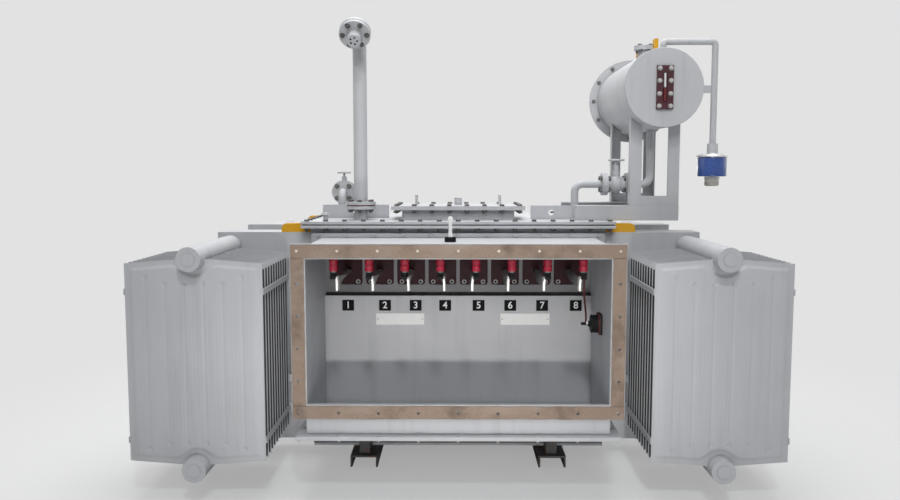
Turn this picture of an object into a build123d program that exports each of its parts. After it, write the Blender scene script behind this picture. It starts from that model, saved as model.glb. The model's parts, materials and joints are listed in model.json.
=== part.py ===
from build123d import *
from math import cos, radians, sin
import os

# Oil-filled furnace transformer: a plate tank on two skids, an open low-voltage cable box in
# front, four banks of finned radiators, an oil conservator and a vent pipe on the lid.
# Millimetres. X runs right, Y runs away from the cable box, Z runs up from the ground.
# The tank is centred on the origin, and the radiators are alike front and rear, left and right.

os.makedirs("parts", exist_ok=True)

# Clearance of a piece from the curved face that it sits on
seat_gap = 0.2

# Skids: inverted channels along Y, with a bracket to the tank at each end
skid_spacing = 806.0
skid_width = 117.0
skid_height = 50.0
skid_steel = 8.0
skid_overhang = 140.0
skid_bracket_width = 46.0
skid_bracket_height = 58.0
skid_bracket_reach = 105.0

# Tank
tank_length = 1280.0
tank_depth = 700.0
tank_height = 970.0
tank_wall = 8.0
tank_floor_thickness = 10.0
curb_side_lip = 35.0
curb_front_lip = 55.0
curb_thickness = 12.0
lid_gasket_thickness = 5.0
lid_gasket_inset = 6.0
lid_thickness = 12.0

# Oil ducts from the tank sides to the radiator headers
duct_setback = 10.0
duct_reach = 410.0
duct_depth = 150.0
duct_height = 120.0
duct_wall = 6.0

# Radiators
header_offset = 355.0
header_rise = 90.0
header_drop = 80.0
header_diameter = 92.0
header_wall = 4.0
header_cap_thickness = 10.0
header_boss_diameter = 50.0
header_boss_height = 3.0
fin_count = 11
fin_pitch = 45.0
fin_width = 520.0
fin_thickness = 9.0
fin_corner_drop = 20.0
fin_front_gap = 60.0
fin_rear_gap = 71.0
strap_height = 23.0
strap_thickness = 4.0
strap_low_rise = 101.0
strap_high_drop = 128.0

# Low-voltage cable box, open in front
box_side_inset = 62.0
box_reach = 484.0
box_wall = 6.0
box_top_drop = 41.0
sill_height = 119.0
mouth_drop = 45.5
flange_band = 58.0
front_flange_thickness = 12.0
front_gasket_thickness = 5.0
gasket_inset = 5.0
gasket_band = 43.0
flange_hole_diameter = 14.0
flange_columns = 9
flange_rows = 6
gland_plate_rise = 190.0
gland_plate_thickness = 7.0
bottom_flange_thickness = 8.0
bottom_flange_lip = 38.0
bottom_flange_band = 96.0
rear_flange_thickness = 12.0
rear_flange_side_lip = 54.0
rear_flange_top_lip = 19.0
rear_flange_corner = 20.0
label_panel_standoff = 30.0
label_panel_thickness = 6.0
label_panel_gap = 44.0

# Terminals inside the cable box
bay_count = 8
bay_margin = 31.6
window_post = 15.0
window_drop = 249.0
window_height = 160.0
window_corner = 12.0
board_margin = 6.0
board_thickness = 10.0
insulator_diameter = 33.0
insulator_length = 89.5
insulator_groove = 4.0
insulator_groove_count = 3
insulator_setback = 39.0
insulator_foot_diameter = 20.0
insulator_foot_height = 19.0
busbar_width = 22.0
busbar_thickness = 10.0
busbar_nose = 22.0
busbar_heel = 30.0
busbar_fall = 38.0
flag_thickness = 8.0
flag_height = 55.5
flag_width = 40.0
earth_drop = 122.0
earth_setback = 210.0
earth_plate_size = 82.0
earth_plate_thickness = 8.0
earth_body_diameter = 67.0
earth_body_depth = 34.0
earth_stud_diameter = 12.0
earth_stud_length = 38.0
earth_lead_diameter = 8.0
earth_lead_bend = 20.0
earth_lead_stand = 35.0
earth_lead_drop = 64.0
earth_lead_setback = 20.0

# Yellow lifting lugs on the tank sides
lug_reach = 130.0
lug_thickness = 36.0
lug_foot = 14.0
lug_gap = 6.0
lug_rise = 38.0
lug_corner = 22.0

# Inspection turret on the lid
turret_inset = 426.0
turret_depth = 245.0
turret_setback = 267.0
turret_wall = 8.0
turret_height = 44.0
turret_flange_side_lip = 46.0
turret_flange_front_lip = 35.0
turret_flange_thickness = 8.0
turret_cover_thickness = 10.0
cover_lug_inset = 59.0
cover_lug_thickness = 11.0
cover_lug_length = 60.0
cover_lug_height = 46.0
cover_plug_diameter = 34.0
cover_plug_height = 33.0

# Lifting plates and thermometer pocket on the lid
left_plate_inset = 203.0
left_plate_setback = 295.0
left_plate_length = 305.0
right_plate_inset = 257.0
right_plate_setback = 193.0
right_plate_length = 184.0
lid_plate_height = 62.0
lid_plate_thickness = 12.0
lid_plate_hole = 26.0
pocket_inset = 80.0
pocket_setback = 181.0
pocket_stem_diameter = 20.0
pocket_stem_height = 19.0
pocket_cap_diameter = 38.0
pocket_cap_height = 12.0
pocket_cap_taper = 15.0

# Explosion vent
vent_inset = 243.0
vent_setback = 150.0
vent_diameter = 60.0
vent_wall = 4.0
vent_neck_height = 48.0
vent_flange_diameter = 132.0
vent_flange_thickness = 14.0
vent_gasket_thickness = 5.0
vent_rise = 650.0
vent_bend_radius = 90.0
vent_bend_angle = 130.0
vent_stub_length = 41.0
vent_cap_thickness = 6.0
vent_cap_hole = 9.0
vent_cap_circle = 30.0
vent_cap_hole_count = 5

# Filter valve on the lid
filter_inset = 134.0
filter_setback = 417.0
filter_rise = 118.0
filter_pipe_diameter = 34.0
filter_pipe_wall = 4.0
filter_pipe_reach = 42.0
filter_bend_radius = 34.0
filter_flange_diameter = 107.0
filter_flange_thickness = 12.0
filter_body_diameter = 58.0
filter_body_length = 44.0
filter_bonnet_diameter = 30.0
filter_bonnet_height = 52.0
filter_gland_diameter = 24.0
filter_gland_height = 20.0
filter_wheel_diameter = 66.0
filter_stem_height = 14.0

# Valve handwheels, both of one kind
wheel_rim_thickness = 9.0
wheel_hub_diameter = 18.0
wheel_spoke_width = 8.0
wheel_spoke_thickness = 5.0
wheel_spoke_count = 4
wheel_hub_height = 11.0
stem_diameter = 10.0
stem_bore_depth = 16.0
stem_bottom_gap = 2.0
stem_running_gap = 0.05

# Conservator
conservator_overhang = 191.0
conservator_rise = 565.0
conservator_diameter = 330.0
conservator_wall = 5.0
conservator_front_overhang = 5.0
conservator_length = 710.0
conservator_plate_thickness = 8.0
conservator_flange_lip = 37.5
conservator_flange_thickness = 12.0
conservator_cover_thickness = 12.0
support_spacing = 450.0
support_offset = 8.0
support_width = 214.0
support_depth = 40.0
support_plate_thickness = 8.0
support_edge_thickness = 6.0
support_window_width = 113.0
support_sill = 42.0
support_window_height = 420.0
support_top_overlap = 95.0
beam_height = 66.0
beam_depth = 50.0
beam_steel = 7.0
beam_inset = 163.0
gauge_width = 70.0
gauge_height = 181.0
gauge_thickness = 12.0
gauge_slot_width = 18.0
gauge_slot_height = 126.0
gauge_slot_depth = 5.0
filler_offset = 55.0
filler_neck_diameter = 56.0
filler_neck_height = 46.0
filler_flange_diameter = 92.0
filler_flange_thickness = 20.0
conservator_lug_spacing = 344.0
conservator_lug_length = 45.0
conservator_lug_thickness = 15.0
conservator_lug_height = 62.0
conservator_lug_hole = 16.0

# Gas relay pipe from the lid to the conservator, with a shut-off valve
relay_inset = 147.0
relay_support_gap = 110.0
relay_rise = 157.0
relay_pipe_diameter = 34.0
relay_pipe_wall = 4.0
relay_bend_radius = 36.0
relay_valve_overhang = 39.0
relay_flange_diameter = 100.0
relay_flange_thickness = 13.0
relay_body_diameter = 62.0
relay_body_length = 80.0
relay_bulb_diameter = 76.0
relay_bonnet_diameter = 34.0
relay_bonnet_height = 62.0
relay_gland_diameter = 26.0
relay_gland_height = 24.0
relay_wheel_diameter = 75.0
relay_stem_height = 17.0

# Silica gel breather
breather_offset = 219.0
breather_setback = 38.0
breather_pipe_diameter = 27.0
breather_pipe_wall = 3.0
breather_bend_radius = 15.0
breather_pipe_rise = 29.0
breather_cap_drop = 290.0
breather_cap_diameter = 130.0
breather_cap_thickness = 17.0
breather_socket_diameter = 45.0
breather_socket_height = 40.0
breather_body_diameter = 120.0
breather_body_height = 82.0
breather_cup_diameter = 64.0
breather_cup_height = 33.0
breather_knob_diameter = 22.0
breather_knob_height = 8.0
bracket_drop = 4.0
bracket_height = 32.0
bracket_thickness = 6.0

# Closed high-voltage cable box on the rear side
hv_box_width = 900.0
hv_box_reach = 330.0
hv_box_rise = 280.0
hv_box_drop = 70.0
hv_flange_lip = 40.0
hv_flange_thickness = 12.0
hv_cover_thickness = 10.0

# Levels and places worked out from the sizes above
tank_side = tank_length / 2
tank_face = tank_depth / 2
tank_top = skid_height + tank_height
skid_length = tank_depth + 2 * skid_overhang
curb_length = tank_length + 2 * curb_side_lip
curb_depth = tank_depth + 2 * curb_front_lip
curb_top = tank_top + curb_thickness
lid_bottom = curb_top + lid_gasket_thickness
lid_top = lid_bottom + lid_thickness
lid_side = curb_length / 2
lid_front = -curb_depth / 2
header_x = tank_side + header_offset
header_low = skid_height + header_rise
header_high = tank_top - header_drop
duct_face = tank_face - duct_setback
duct_end = tank_side + duct_reach
fin_bank_depth = (fin_count - 1) * fin_pitch + fin_thickness
fin_front = duct_face + fin_rear_gap + fin_bank_depth
header_length = fin_rear_gap + fin_bank_depth + fin_front_gap
header_centres = [(x, z) for x in (-header_x, header_x) for z in (header_low, header_high)]
box_inner_width = tank_length - 2 * box_side_inset
box_side = box_inner_width / 2 + box_wall
box_front = tank_face + box_reach
gland_plate_level = skid_height + gland_plate_rise
box_floor_level = gland_plate_level + gland_plate_thickness + bottom_flange_thickness
box_top_level = tank_top - box_top_drop
box_ceiling = box_top_level - box_wall
mouth_bottom = box_floor_level + sill_height
mouth_height = box_top_level - mouth_drop - mouth_bottom
mouth_center = mouth_bottom + mouth_height / 2
flange_width = box_inner_width + 2 * flange_band
flange_height = mouth_height + 2 * flange_band
gasket_width = flange_width - 2 * gasket_inset
gasket_height = flange_height - 2 * gasket_inset
flange_hole_span_x = gasket_width - gasket_band
flange_hole_span_z = gasket_height - gasket_band
rear_flange_face = tank_face + rear_flange_thickness
board_face = tank_face - tank_wall
bay_pitch = (box_inner_width - 2 * bay_margin) / bay_count
bay_xs = [(i - (bay_count - 1) / 2) * bay_pitch for i in range(bay_count)]
window_width = bay_pitch - window_post
window_bottom = tank_top - window_drop
label_panel_top = window_bottom - label_panel_gap
insulator_bottom = box_ceiling - insulator_length
insulator_y = box_front - insulator_setback
busbar_top = insulator_bottom - insulator_foot_height
busbar_bottom = busbar_top - busbar_thickness
flag_offset = (busbar_width + flag_thickness) / 2
flag_xs = [x + flag_offset if x < 0 else x - flag_offset for x in bay_xs]
earth_level = window_bottom - earth_drop
earth_y = box_front - earth_setback
turret_width = 2 * (lid_side - turret_inset)
turret_center_y = lid_front + turret_setback
turret_flange_width = turret_width + 2 * turret_flange_side_lip
turret_flange_depth = turret_depth + 2 * turret_flange_front_lip
cover_lug_x = turret_width / 2 - cover_lug_inset
left_plate_center_x = left_plate_inset - lid_side
left_plate_center_y = lid_front + left_plate_setback
right_plate_center_x = lid_side - right_plate_inset
right_plate_center_y = lid_front + right_plate_setback
pocket_x = pocket_inset - lid_side
pocket_y = lid_front + pocket_setback
vent_x = vent_inset - lid_side
vent_y = lid_front + vent_setback
filter_x = filter_inset - lid_side
filter_y = lid_front + filter_setback
filter_level = lid_top + filter_rise
conservator_x = lid_side + conservator_overhang
conservator_level = lid_top + conservator_rise
conservator_radius = conservator_diameter / 2
conservator_flange_diameter = conservator_diameter + 2 * conservator_flange_lip
conservator_front = lid_front - conservator_front_overhang
conservator_mid = conservator_front + conservator_length / 2
conservator_shell_top = conservator_level + conservator_radius
filler_y = conservator_mid + filler_offset
support_x = conservator_x - support_offset
support_y = conservator_mid - support_spacing / 2
support_bottom = lid_top + beam_height
relay_x = lid_side - relay_inset
relay_y = support_y + relay_support_gap
relay_level = lid_top + relay_rise
relay_valve_x = lid_side + relay_valve_overhang
breather_x = conservator_x + breather_offset
breather_y = conservator_front + breather_setback
breather_pipe_level = conservator_shell_top + breather_pipe_rise
breather_cap_level = conservator_level - breather_cap_drop
bracket_level = conservator_level - bracket_drop
hv_box_bottom = skid_height + hv_box_rise
hv_box_height = tank_top - hv_box_drop - hv_box_bottom


def write_piece(piece, name):
    """Label a finished piece and write its STEP file."""
    piece.part.label = name
    export_step(piece.part, f"parts/{name}.step")


def front_plane(y):
    """Upright plane at the given Y, facing the front, with X across and Z up."""
    return Plane.XZ.offset(-y)


def flange_holes():
    """Places of the bolt holes round the cable box mouth, in the box's front plane."""
    across = [(i / (flange_columns - 1) - 0.5) * flange_hole_span_x for i in range(flange_columns)]
    up = [(i / (flange_rows - 1) - 0.5) * flange_hole_span_z for i in range(flange_rows)]
    rows = [(x, mouth_center + z) for x in across for z in (up[0], up[-1])]
    sides = [(x, mouth_center + z) for x in (across[0], across[-1]) for z in up[1:-1]]
    return rows + sides


# Skids
with BuildPart() as base_channels:
    with BuildSketch(Plane.XZ):
        with Locations((-skid_spacing / 2, 0), (skid_spacing / 2, 0)):
            Rectangle(skid_width, skid_height, align=(Align.CENTER, Align.MIN))
            Rectangle(
                skid_width - 2 * skid_steel,
                skid_height - skid_steel,
                align=(Align.CENTER, Align.MIN),
                mode=Mode.SUBTRACT,
            )
    extrude(amount=skid_length / 2, both=True)
    with BuildSketch(Plane.XY.offset(skid_height)):
        bracket_y = tank_face + skid_bracket_reach / 2
        with GridLocations(skid_spacing, 2 * bracket_y, 2, 2):
            Rectangle(skid_bracket_width, skid_bracket_reach)
    extrude(amount=skid_bracket_height)
write_piece(base_channels, "base_channels")

# Tank plates
with BuildPart() as tank_floor:
    with BuildSketch(Plane.XY.offset(skid_height)):
        Rectangle(tank_length, tank_depth)
    extrude(amount=tank_floor_thickness)
write_piece(tank_floor, "tank_floor")

wall_bottom = skid_height + tank_floor_thickness
wall_height = tank_top - wall_bottom

with BuildPart() as tank_front_wall:
    with BuildSketch(Plane.XZ.offset(board_face)):
        with Locations((0, wall_bottom)):
            Rectangle(tank_length, wall_height, align=(Align.CENTER, Align.MIN))
        with Locations(*[(x, window_bottom + window_height / 2) for x in bay_xs]):
            RectangleRounded(window_width, window_height, window_corner, mode=Mode.SUBTRACT)
    extrude(amount=tank_wall)
write_piece(tank_front_wall, "tank_front_wall")

with BuildPart() as tank_rear_wall:
    with BuildSketch(Plane.XZ.offset(-tank_face)):
        with Locations((0, wall_bottom)):
            Rectangle(tank_length, wall_height, align=(Align.CENTER, Align.MIN))
    extrude(amount=tank_wall)
write_piece(tank_rear_wall, "tank_rear_wall")

duct_center_y = duct_face - duct_depth / 2

with BuildPart() as tank_side_walls:
    with BuildSketch(Plane.YZ.offset(tank_side - tank_wall)):
        with Locations((0, wall_bottom)):
            Rectangle(tank_depth - 2 * tank_wall, wall_height, align=(Align.CENTER, Align.MIN))
        with Locations(*[(y, z) for y in (-duct_center_y, duct_center_y) for z in (header_low, header_high)]):
            Rectangle(duct_depth - 2 * duct_wall, duct_height - 2 * duct_wall, mode=Mode.SUBTRACT)
    extrude(amount=tank_wall)
    mirror(about=Plane.YZ)
write_piece(tank_side_walls, "tank_side_walls")

# Curb, gasket and lid
with BuildPart() as tank_curb:
    with BuildSketch(Plane.XY.offset(tank_top)):
        Rectangle(curb_length, curb_depth)
        Rectangle(tank_length - 2 * tank_wall, tank_depth - 2 * tank_wall, mode=Mode.SUBTRACT)
    extrude(amount=curb_thickness)
write_piece(tank_curb, "tank_curb")

with BuildPart() as lid_gasket:
    with BuildSketch(Plane.XY.offset(curb_top)):
        Rectangle(curb_length - 2 * lid_gasket_inset, curb_depth - 2 * lid_gasket_inset)
        Rectangle(tank_length - 2 * tank_wall, tank_depth - 2 * tank_wall, mode=Mode.SUBTRACT)
    extrude(amount=lid_gasket_thickness)
write_piece(lid_gasket, "lid_gasket")

with BuildPart() as lid:
    with BuildSketch(Plane.XY.offset(lid_bottom)):
        Rectangle(curb_length, curb_depth)
    extrude(amount=lid_thickness)
write_piece(lid, "lid")

# Oil ducts, welded to the tank sides
with BuildPart() as header_ducts:
    duct_places = [(-duct_center_y, header_low), (-duct_center_y, header_high)]
    with BuildSketch(Plane.YZ.offset(tank_side)):
        with Locations(*duct_places):
            Rectangle(duct_depth, duct_height)
            Rectangle(duct_depth - 2 * duct_wall, duct_height - 2 * duct_wall, mode=Mode.SUBTRACT)
    extrude(amount=duct_reach - duct_wall)
    with BuildSketch(Plane.YZ.offset(duct_end - duct_wall)):
        with Locations(*duct_places):
            Rectangle(duct_depth, duct_height)
    extrude(amount=duct_wall)
    mirror(about=Plane.YZ)
    mirror(about=Plane.XZ)
write_piece(header_ducts, "header_ducts")

# Radiators
with BuildPart() as radiator_headers:
    pipe_length = header_length - header_cap_thickness - header_boss_height
    with BuildSketch(Plane.XZ.offset(duct_face)):
        with Locations(*header_centres):
            Circle(header_diameter / 2)
            Circle(header_diameter / 2 - header_wall, mode=Mode.SUBTRACT)
    extrude(amount=pipe_length)
    with BuildSketch(Plane.XZ.offset(duct_face + pipe_length)):
        with Locations(*header_centres):
            Circle(header_diameter / 2)
    extrude(amount=header_cap_thickness)
    with BuildSketch(Plane.XZ.offset(duct_face + pipe_length + header_cap_thickness)):
        with Locations(*header_centres):
            Circle(header_boss_diameter / 2)
    extrude(amount=header_boss_height)
    mirror(about=Plane.XZ)
write_piece(radiator_headers, "radiator_headers")

fin_planes = [Plane.XZ.offset(fin_front - fin_thickness - i * fin_pitch) for i in range(fin_count)]

with BuildPart() as radiator_front_left:
    with BuildSketch(*fin_planes):
        with BuildLine():
            Polyline(
                (-header_x - fin_width / 2, header_low + fin_corner_drop),
                (-header_x, header_low),
                (-header_x + fin_width / 2, header_low + fin_corner_drop),
                (-header_x + fin_width / 2, header_high - fin_corner_drop),
                (-header_x, header_high),
                (-header_x - fin_width / 2, header_high - fin_corner_drop),
                close=True,
            )
        make_face()
        with Locations((-header_x, header_low), (-header_x, header_high)):
            Circle(header_diameter / 2 + seat_gap, mode=Mode.SUBTRACT)
    extrude(amount=fin_thickness)
write_piece(radiator_front_left, "radiator_front_left")

with BuildPart() as radiator_front_right:
    mirror(radiator_front_left.part, about=Plane.YZ)
write_piece(radiator_front_right, "radiator_front_right")

with BuildPart() as radiator_rear_left:
    mirror(radiator_front_left.part, about=Plane.XZ)
write_piece(radiator_rear_left, "radiator_rear_left")

with BuildPart() as radiator_rear_right:
    mirror(radiator_front_right.part, about=Plane.XZ)
write_piece(radiator_rear_right, "radiator_rear_right")

with BuildPart() as radiator_straps:
    strap_levels = [header_low + strap_low_rise, header_high - strap_high_drop]
    strap_offset = fin_width / 2 + strap_thickness / 2
    strap_xs = [s * header_x + t * strap_offset for s in (-1, 1) for t in (-1, 1)]
    with BuildSketch(Plane.XZ.offset(fin_front - fin_bank_depth)):
        with Locations(*[(x, z) for x in strap_xs for z in strap_levels]):
            Rectangle(strap_thickness, strap_height)
    extrude(amount=fin_bank_depth)
    mirror(about=Plane.XZ)
write_piece(radiator_straps, "radiator_straps")

# Cable box plates
box_plate_depth = box_reach - rear_flange_thickness

with BuildPart() as box_side_walls:
    with BuildSketch(Plane.YZ.offset(box_inner_width / 2)):
        with Locations((-rear_flange_face, box_floor_level)):
            Rectangle(box_plate_depth, box_ceiling - box_floor_level, align=(Align.MAX, Align.MIN))
    extrude(amount=box_wall)
    mirror(about=Plane.YZ)
write_piece(box_side_walls, "box_side_walls")

with BuildPart() as box_top:
    with BuildSketch(Plane.XY.offset(box_ceiling)):
        with Locations((0, -rear_flange_face)):
            Rectangle(2 * box_side, box_plate_depth, align=(Align.CENTER, Align.MAX))
    extrude(amount=box_wall)
write_piece(box_top, "box_top")

with BuildPart() as box_sill:
    with BuildSketch(Plane.XZ.offset(box_front - box_wall)):
        with Locations((0, box_floor_level)):
            Rectangle(box_inner_width, mouth_bottom - box_floor_level, align=(Align.CENTER, Align.MIN))
        with Locations(*flange_holes()):
            Circle(flange_hole_diameter / 2, mode=Mode.SUBTRACT)
    extrude(amount=box_wall)
write_piece(box_sill, "box_sill")

with BuildPart() as box_bottom_flange:
    with BuildSketch(Plane.XY.offset(box_floor_level - bottom_flange_thickness)):
        lip_width = 2 * (box_side + bottom_flange_lip)
        lip_depth = box_plate_depth + bottom_flange_lip
        with Locations((0, -rear_flange_face)):
            Rectangle(lip_width, lip_depth, align=(Align.CENTER, Align.MAX))
        with Locations((0, -rear_flange_face - lip_depth / 2)):
            Rectangle(
                lip_width - 2 * bottom_flange_band,
                lip_depth - 2 * bottom_flange_band,
                mode=Mode.SUBTRACT,
            )
    extrude(amount=bottom_flange_thickness)
write_piece(box_bottom_flange, "box_bottom_flange")

with BuildPart() as gland_plate:
    with BuildSketch(Plane.XY.offset(gland_plate_level)):
        with Locations((0, -rear_flange_face)):
            Rectangle(lip_width, lip_depth, align=(Align.CENTER, Align.MAX))
    extrude(amount=gland_plate_thickness)
write_piece(gland_plate, "gland_plate")

with BuildPart() as box_front_flange:
    with BuildSketch(Plane.XZ.offset(box_front)):
        with Locations((0, mouth_center)):
            Rectangle(flange_width, flange_height)
            Rectangle(box_inner_width, mouth_height, mode=Mode.SUBTRACT)
        with Locations(*flange_holes()):
            Circle(flange_hole_diameter / 2, mode=Mode.SUBTRACT)
    extrude(amount=front_flange_thickness)
write_piece(box_front_flange, "box_front_flange")

with BuildPart() as box_front_gasket:
    with BuildSketch(Plane.XZ.offset(box_front + front_flange_thickness)):
        strip_z = flange_hole_span_z / 2
        strip_x = flange_hole_span_x / 2
        with Locations((0, mouth_center - strip_z), (0, mouth_center + strip_z)):
            Rectangle(gasket_width, gasket_band)
        with Locations((-strip_x, mouth_center), (strip_x, mouth_center)):
            Rectangle(gasket_band, gasket_height - 2 * gasket_band - 2 * seat_gap)
        with Locations(*flange_holes()):
            Circle(flange_hole_diameter / 2, mode=Mode.SUBTRACT)
    extrude(amount=front_gasket_thickness)
write_piece(box_front_gasket, "box_front_gasket")

with BuildPart() as box_rear_flange:
    with BuildSketch(Plane.XZ.offset(tank_face)):
        rear_width = 2 * (box_side + rear_flange_side_lip)
        rear_height = box_top_level + rear_flange_top_lip - gland_plate_level
        with Locations((0, gland_plate_level + rear_height / 2)):
            RectangleRounded(rear_width, rear_height, rear_flange_corner)
        with Locations((0, box_floor_level)):
            Rectangle(
                box_inner_width,
                box_ceiling - box_floor_level,
                align=(Align.CENTER, Align.MIN),
                mode=Mode.SUBTRACT,
            )
    extrude(amount=rear_flange_thickness)
write_piece(box_rear_flange, "box_rear_flange")

with BuildPart() as label_panel:
    with BuildSketch(Plane.XZ.offset(tank_face + label_panel_standoff)):
        with Locations((0, box_floor_level)):
            Rectangle(box_inner_width, label_panel_top - box_floor_level, align=(Align.CENTER, Align.MIN))
    extrude(amount=label_panel_thickness)
write_piece(label_panel, "label_panel")

# Terminals
with BuildPart() as terminal_boards:
    with BuildSketch(Plane.XZ.offset(board_face - board_thickness)):
        with Locations(*[(x, window_bottom + window_height / 2) for x in bay_xs]):
            Rectangle(window_width + 2 * board_margin, window_height + 2 * board_margin)
    extrude(amount=board_thickness)
write_piece(terminal_boards, "terminal_boards")

with BuildPart() as insulators:
    with Locations(*[(x, -insulator_y, insulator_bottom) for x in bay_xs]):
        Cylinder(insulator_diameter / 2, insulator_length, align=(Align.CENTER, Align.CENTER, Align.MIN))
    ring_pitch = insulator_length / (insulator_groove_count + 1)
    ring_levels = [insulator_bottom + ring_pitch * (i + 1) for i in range(insulator_groove_count)]
    with Locations(*[(x, -insulator_y, z) for x in bay_xs for z in ring_levels]):
        Torus(insulator_diameter / 2, insulator_groove / 2, mode=Mode.SUBTRACT)
    with BuildSketch(Plane.XY.offset(busbar_top)):
        with Locations(*[(x, -insulator_y) for x in bay_xs]):
            Circle(insulator_foot_diameter / 2)
    extrude(amount=insulator_foot_height)
write_piece(insulators, "insulators")

with BuildPart() as busbars:
    with BuildSketch(*[Plane.YZ.offset(x - busbar_width / 2) for x in bay_xs]):
        with BuildLine():
            Polyline(
                (-insulator_y - busbar_nose, busbar_top),
                (-insulator_y + busbar_heel, busbar_top),
                (-board_face, busbar_top - busbar_fall),
                (-board_face, busbar_bottom - busbar_fall),
                (-insulator_y + busbar_heel, busbar_bottom),
                (-insulator_y - busbar_nose, busbar_bottom),
                close=True,
            )
        make_face()
    extrude(amount=busbar_width)
    with BuildSketch(*[Plane.YZ.offset(x - flag_thickness / 2) for x in flag_xs]):
        with Locations((-insulator_y, busbar_top)):
            Rectangle(flag_width, flag_height, align=(Align.CENTER, Align.MAX))
    extrude(amount=flag_thickness)
write_piece(busbars, "busbars")

earth_plate_face = box_inner_width / 2 - earth_plate_thickness
earth_body_face = earth_plate_face - earth_body_depth
earth_stud_end = earth_body_face - earth_stud_length

with BuildPart() as earth_bushing:
    with BuildSketch(Plane.YZ.offset(earth_plate_face)):
        with Locations((-earth_y, earth_level)):
            RectangleRounded(earth_plate_size, earth_plate_size, earth_plate_thickness)
    extrude(amount=earth_plate_thickness)
    with BuildSketch(Plane.YZ.offset(earth_body_face)):
        with Locations((-earth_y, earth_level)):
            Circle(earth_body_diameter / 2)
    extrude(amount=earth_body_depth)
    with BuildSketch(Plane.YZ.offset(earth_stud_end)):
        with Locations((-earth_y, earth_level)):
            Circle(earth_stud_diameter / 2)
    extrude(amount=earth_stud_length)
write_piece(earth_bushing, "earth_bushing")

lead_bottom = earth_level + earth_stud_diameter / 2
lead_x = earth_stud_end + earth_stud_length / 2
lead_top_x = bay_xs[-1] + (busbar_width - earth_lead_diameter) / 2
lead_top_y = insulator_y - earth_lead_setback

with BuildPart() as earth_lead:
    with BuildLine() as lead_path:
        FilletPolyline(
            (lead_x, -earth_y, lead_bottom),
            (lead_x, -earth_y, lead_bottom + earth_lead_stand),
            (lead_top_x, -lead_top_y, busbar_bottom - earth_lead_drop),
            (lead_top_x, -lead_top_y, busbar_bottom),
            radius=earth_lead_bend,
        )
    with BuildSketch(Plane.XY.offset(lead_bottom)):
        with Locations((lead_x, -earth_y)):
            Circle(earth_lead_diameter / 2)
    sweep(path=lead_path.wires()[0])
write_piece(earth_lead, "earth_lead")

# Inspection turret
turret_flange_bottom = lid_top + turret_height
cover_bottom = turret_flange_bottom + turret_flange_thickness
cover_top = cover_bottom + turret_cover_thickness

with BuildPart() as inspection_turret:
    with BuildSketch(Plane.XY.offset(lid_top)):
        with Locations((0, turret_center_y)):
            Rectangle(turret_width, turret_depth)
            Rectangle(turret_width - 2 * turret_wall, turret_depth - 2 * turret_wall, mode=Mode.SUBTRACT)
    extrude(amount=turret_height)
    with BuildSketch(Plane.XY.offset(turret_flange_bottom)):
        with Locations((0, turret_center_y)):
            Rectangle(turret_flange_width, turret_flange_depth)
            Rectangle(turret_width - 2 * turret_wall, turret_depth - 2 * turret_wall, mode=Mode.SUBTRACT)
    extrude(amount=turret_flange_thickness)
write_piece(inspection_turret, "inspection_turret")

with BuildPart() as turret_cover:
    with BuildSketch(Plane.XY.offset(cover_bottom)):
        with Locations((0, turret_center_y)):
            Rectangle(turret_flange_width, turret_flange_depth)
    extrude(amount=turret_cover_thickness)
    with BuildSketch(Plane.XY.offset(cover_top)):
        with Locations((-cover_lug_x, turret_center_y), (cover_lug_x, turret_center_y)):
            Rectangle(cover_lug_thickness, cover_lug_length)
    extrude(amount=cover_lug_height)
    with BuildSketch(Plane.XY.offset(cover_top)):
        with Locations((0, turret_center_y)):
            Circle(cover_plug_diameter / 2)
    extrude(amount=cover_plug_height)
write_piece(turret_cover, "turret_cover")

# Lifting plates and thermometer pocket
with BuildPart() as lid_lifting_plates:
    with BuildSketch(Plane.XZ.offset(-left_plate_center_y - lid_plate_thickness / 2)):
        with Locations((left_plate_center_x, lid_top)):
            Rectangle(left_plate_length, lid_plate_height, align=(Align.CENTER, Align.MIN))
        with Locations((left_plate_center_x, lid_top + lid_plate_height / 2)):
            Circle(lid_plate_hole / 2, mode=Mode.SUBTRACT)
    extrude(amount=lid_plate_thickness)
    with BuildSketch(Plane.XZ.offset(-right_plate_center_y - lid_plate_thickness / 2)):
        with Locations((right_plate_center_x, lid_top)):
            Rectangle(right_plate_length, lid_plate_height, align=(Align.CENTER, Align.MIN))
        with Locations((right_plate_center_x, lid_top + lid_plate_height / 2)):
            Circle(lid_plate_hole / 2, mode=Mode.SUBTRACT)
    extrude(amount=lid_plate_thickness)
write_piece(lid_lifting_plates, "lid_lifting_plates")

with BuildPart() as thermometer_pocket:
    with BuildSketch(Plane.XY.offset(lid_top)):
        with Locations((pocket_x, pocket_y)):
            Circle(pocket_stem_diameter / 2)
    extrude(amount=pocket_stem_height)
    with BuildSketch(Plane.XY.offset(lid_top + pocket_stem_height)):
        with Locations((pocket_x, pocket_y)):
            Circle(pocket_cap_diameter / 2)
    extrude(amount=pocket_cap_height, taper=pocket_cap_taper)
write_piece(thermometer_pocket, "thermometer_pocket")

# Explosion vent
vent_joint_level = lid_top + vent_neck_height + vent_flange_thickness
vent_pipe_bottom = vent_joint_level + vent_gasket_thickness
vent_bend_level = vent_pipe_bottom + vent_flange_thickness + vent_rise
vent_bore = vent_diameter / 2 - vent_wall
vent_turn = radians(vent_bend_angle)
vent_mouth = Plane(
    origin=(
        vent_x,
        vent_y - vent_bend_radius + vent_bend_radius * cos(vent_turn),
        vent_bend_level + vent_bend_radius * sin(vent_turn),
    ),
    x_dir=(1, 0, 0),
    z_dir=(0, -sin(vent_turn), cos(vent_turn)),
)

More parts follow.
